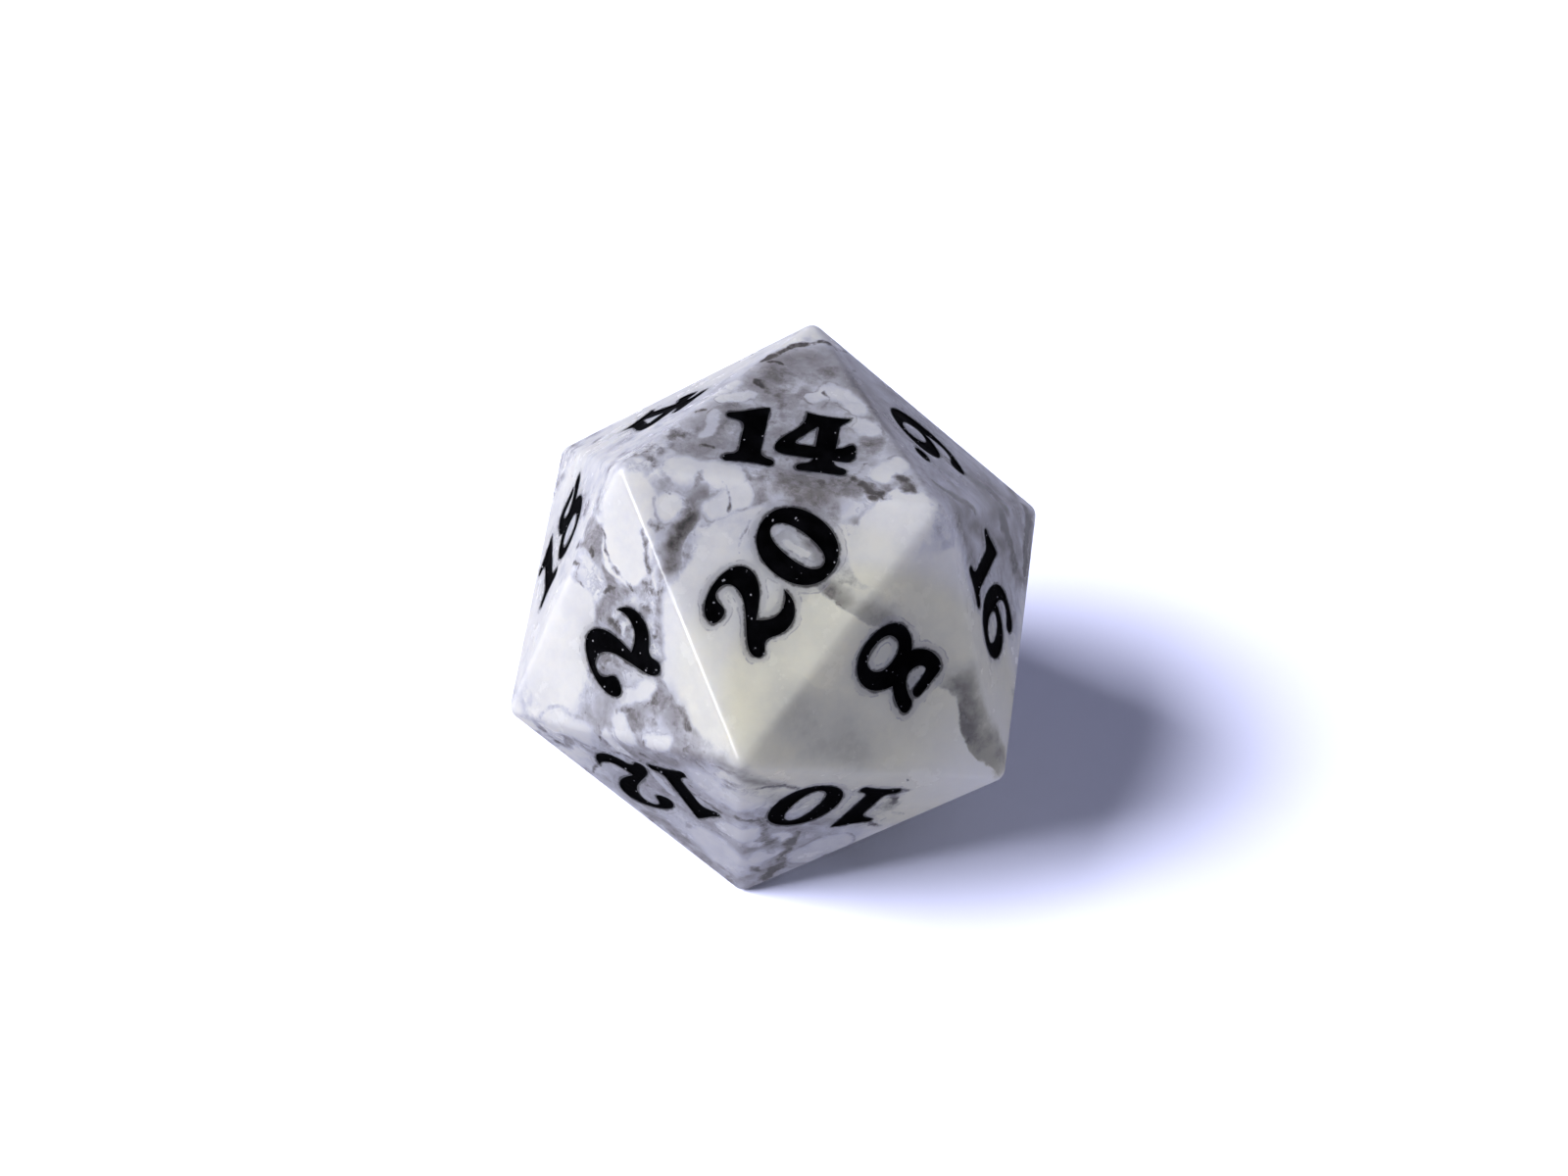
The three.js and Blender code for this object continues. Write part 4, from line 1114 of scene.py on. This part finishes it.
stone = make_stone()
paint = make_paint()
build_die()
stone_body = stone_surface.to_object("stone_body")
stone_body.data.materials.append(stone)
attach(stone_body, "root")
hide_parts("die_body")
visual_pieces = [stone_body]
for node, surface in paint_surfaces.items():
    piece = surface.to_object("look_" + node)
    piece.data.materials.append(paint)
    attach(piece, "root")
    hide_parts(node)
    visual_pieces.append(piece)

# ------------ stage, light and camera

STAGE_REACH = 1.6            # m, from the middle of the floor to its sides
BACKDROP_REACH = STAGE_REACH * 0.98    # just inside the floor's sides
BACKDROP_SIDES = 96
FLOOR_AS_SEEN = (0.84, 0.86, 0.99, 1)
FLOOR_AS_REFLECTOR = (0.28, 0.28, 0.29, 1)
# Azimuth and height in degrees towards the light, how wide it looks in degrees, strength, colour.
STONE_KEY = (189, 33, 43, 3.34, (1, 1, 1))
FLOOR_KEY = (201, 39, 43, 9.8, (0.82, 0.83, 1))
# A small bright card that only shines in polished edges: azimuth, height, width in m, brightness.
CARD = (226, 24, 0.22, 26)
CARD_DISTANCE = 1.2          # m
# Light from all around: its average, how it changes towards +X, +Y and +Z, and its least.
FILL = (0.175, 0.18, 0.24)
FILL_CHANGE = ((0.19, 0.19, 0.17), (-0.05, -0.05, -0.038), (-0.03, -0.03, -0.02))
FILL_LOW = (0.02, 0.02, 0.03)
# The camera, fitted to the photo: its axes, and its place in mm about the middle of the die.
CAMERA_RIGHT = Vector((0.98984753, 0.12930857, 0.05900131))
CAMERA_UP = Vector((-0.12946259, 0.64892507, 0.74975709))
CAMERA_BACK = Vector((0.05866259, -0.74978367, 0.6590775))
CAMERA_PLACE = Vector((8.2226, -102.4062, 91.2739))
CAMERA_LENS = 72.32          # mm
CAMERA_SENSOR = 36           # mm
CAMERA_NEAR = 0.01           # m, nothing nearer is drawn


def staged(name, mesh, material):
    """Adds an object made of this mesh and material."""
    mesh.materials.append(material)
    thing = new_object(name, mesh)
    return thing


def glowing(name, shape, brightness):
    """A stage object that shines by itself, but neither lights nor shades what is round it."""
    mesh = bpy.data.meshes.new(name)
    shape.to_mesh(mesh)
    shape.free()
    material, shader, surface = new_material(name + "_paper")
    colours = {"Base Color": (0, 0, 0, 1), "Emission Color": (1, 1, 1, 1)}
    shader.feed(surface, {**colours, "Emission Strength": brightness})
    thing = staged(name, mesh, material)
    thing.visible_diffuse = False
    thing.visible_shadow = False
    return thing


def make_floor():
    corners = [(-1, -1, 0), (1, -1, 0), (1, 1, 0), (-1, 1, 0)]
    mesh = bpy.data.meshes.new("floor")
    mesh.from_pydata([Vector(corner) * STAGE_REACH for corner in corners], [], [(0, 1, 2, 3)])
    material, shader, surface = new_material("floor_paper")
    seen = shader.node("ShaderNodeLightPath", {}).outputs["Is Camera Ray"]
    # overexposed as the camera sees it, and calmer as a reflector of light onto the die
    colour = shader.mix(seen, FLOOR_AS_REFLECTOR, FLOOR_AS_SEEN)
    shader.feed(surface, {"Base Color": colour, "Roughness": 1.0, "Specular IOR Level": 0.0})
    return staged("floor", mesh, material)


def make_backdrop():
    """A pale wall round the edge of the floor, which only the camera sees."""
    wall = bmesh.new()
    size = {"radius1": BACKDROP_REACH, "radius2": BACKDROP_REACH, "depth": STAGE_REACH * 2}
    bmesh.ops.create_cone(wall, segments=BACKDROP_SIDES, **size)
    glowing("backdrop", wall, 1.0).visible_glossy = False


def direction_to(azimuth, height):
    level = math.cos(math.radians(height))
    azimuth = math.radians(azimuth)
    return Vector((level * math.cos(azimuth), level * math.sin(azimuth), math.sin(math.radians(height))))


def make_card(azimuth, height, width, brightness):
    """A bright card facing the die that shows in reflections and lights nothing else."""
    towards = direction_to(azimuth, height)
    card = bmesh.new()
    turned = towards.to_track_quat("Z", "Y").to_matrix().to_4x4()
    bmesh.ops.create_grid(card, x_segments=1, y_segments=1, size=width / 2, matrix=turned)
    bmesh.ops.translate(card, verts=card.verts, vec=towards * CARD_DISTANCE)
    glowing("card", card, brightness).visible_camera = False


def make_key(name, azimuth, height, softness, strength, colour, lit):
    """A distant soft light that falls only on the given objects."""
    light = bpy.data.lights.new(name, "SUN")
    light.energy = strength
    light.color = colour
    light.angle = math.radians(softness)
    sun = new_object(name, light)
    sun.rotation_euler = direction_to(azimuth, height).to_track_quat("Z", "Y").to_euler()
    receivers = bpy.data.collections.new(name + "_falls_on")
    for thing in lit:
        receivers.objects.link(thing)
    sun.light_linking.receiver_collection = receivers


def make_fill():
    """Weak light from all around, a little different from each side."""
    world = bpy.data.worlds.new("studio")
    bpy.context.scene.world = world
    world.use_nodes = True
    shader = Shader(world.node_tree)
    direction = shader.node("ShaderNodeTexCoord", {}).outputs["Generated"]
    axes = shader.node("ShaderNodeSeparateXYZ", {0: direction}).outputs
    light = FILL
    for axis, change in zip(axes, FILL_CHANGE):
        light = shader.vector("ADD", light, shader.scaled(change, axis))
    light = shader.vector("MAXIMUM", light, FILL_LOW)
    shader.feed(world.node_tree.nodes["Background"], {"Color": light})


def make_camera():
    data = bpy.data.cameras.new("camera")
    data.lens = CAMERA_LENS
    data.sensor_width = CAMERA_SENSOR
    data.clip_start = CAMERA_NEAR
    camera = new_object("camera", data)
    turned = Matrix((CAMERA_RIGHT, CAMERA_UP, CAMERA_BACK)).transposed().to_4x4()
    location = CAMERA_PLACE + Vector((0, 0, FACE_DISTANCE))
    camera.matrix_world = Matrix.Translation(location * MM) @ turned
    bpy.context.scene.camera = camera


floor = make_floor()
make_backdrop()
make_key("stone_key", *STONE_KEY, visual_pieces)
make_key("floor_key", *FLOOR_KEY, [floor])
make_card(*CARD)
make_fill()
make_camera()
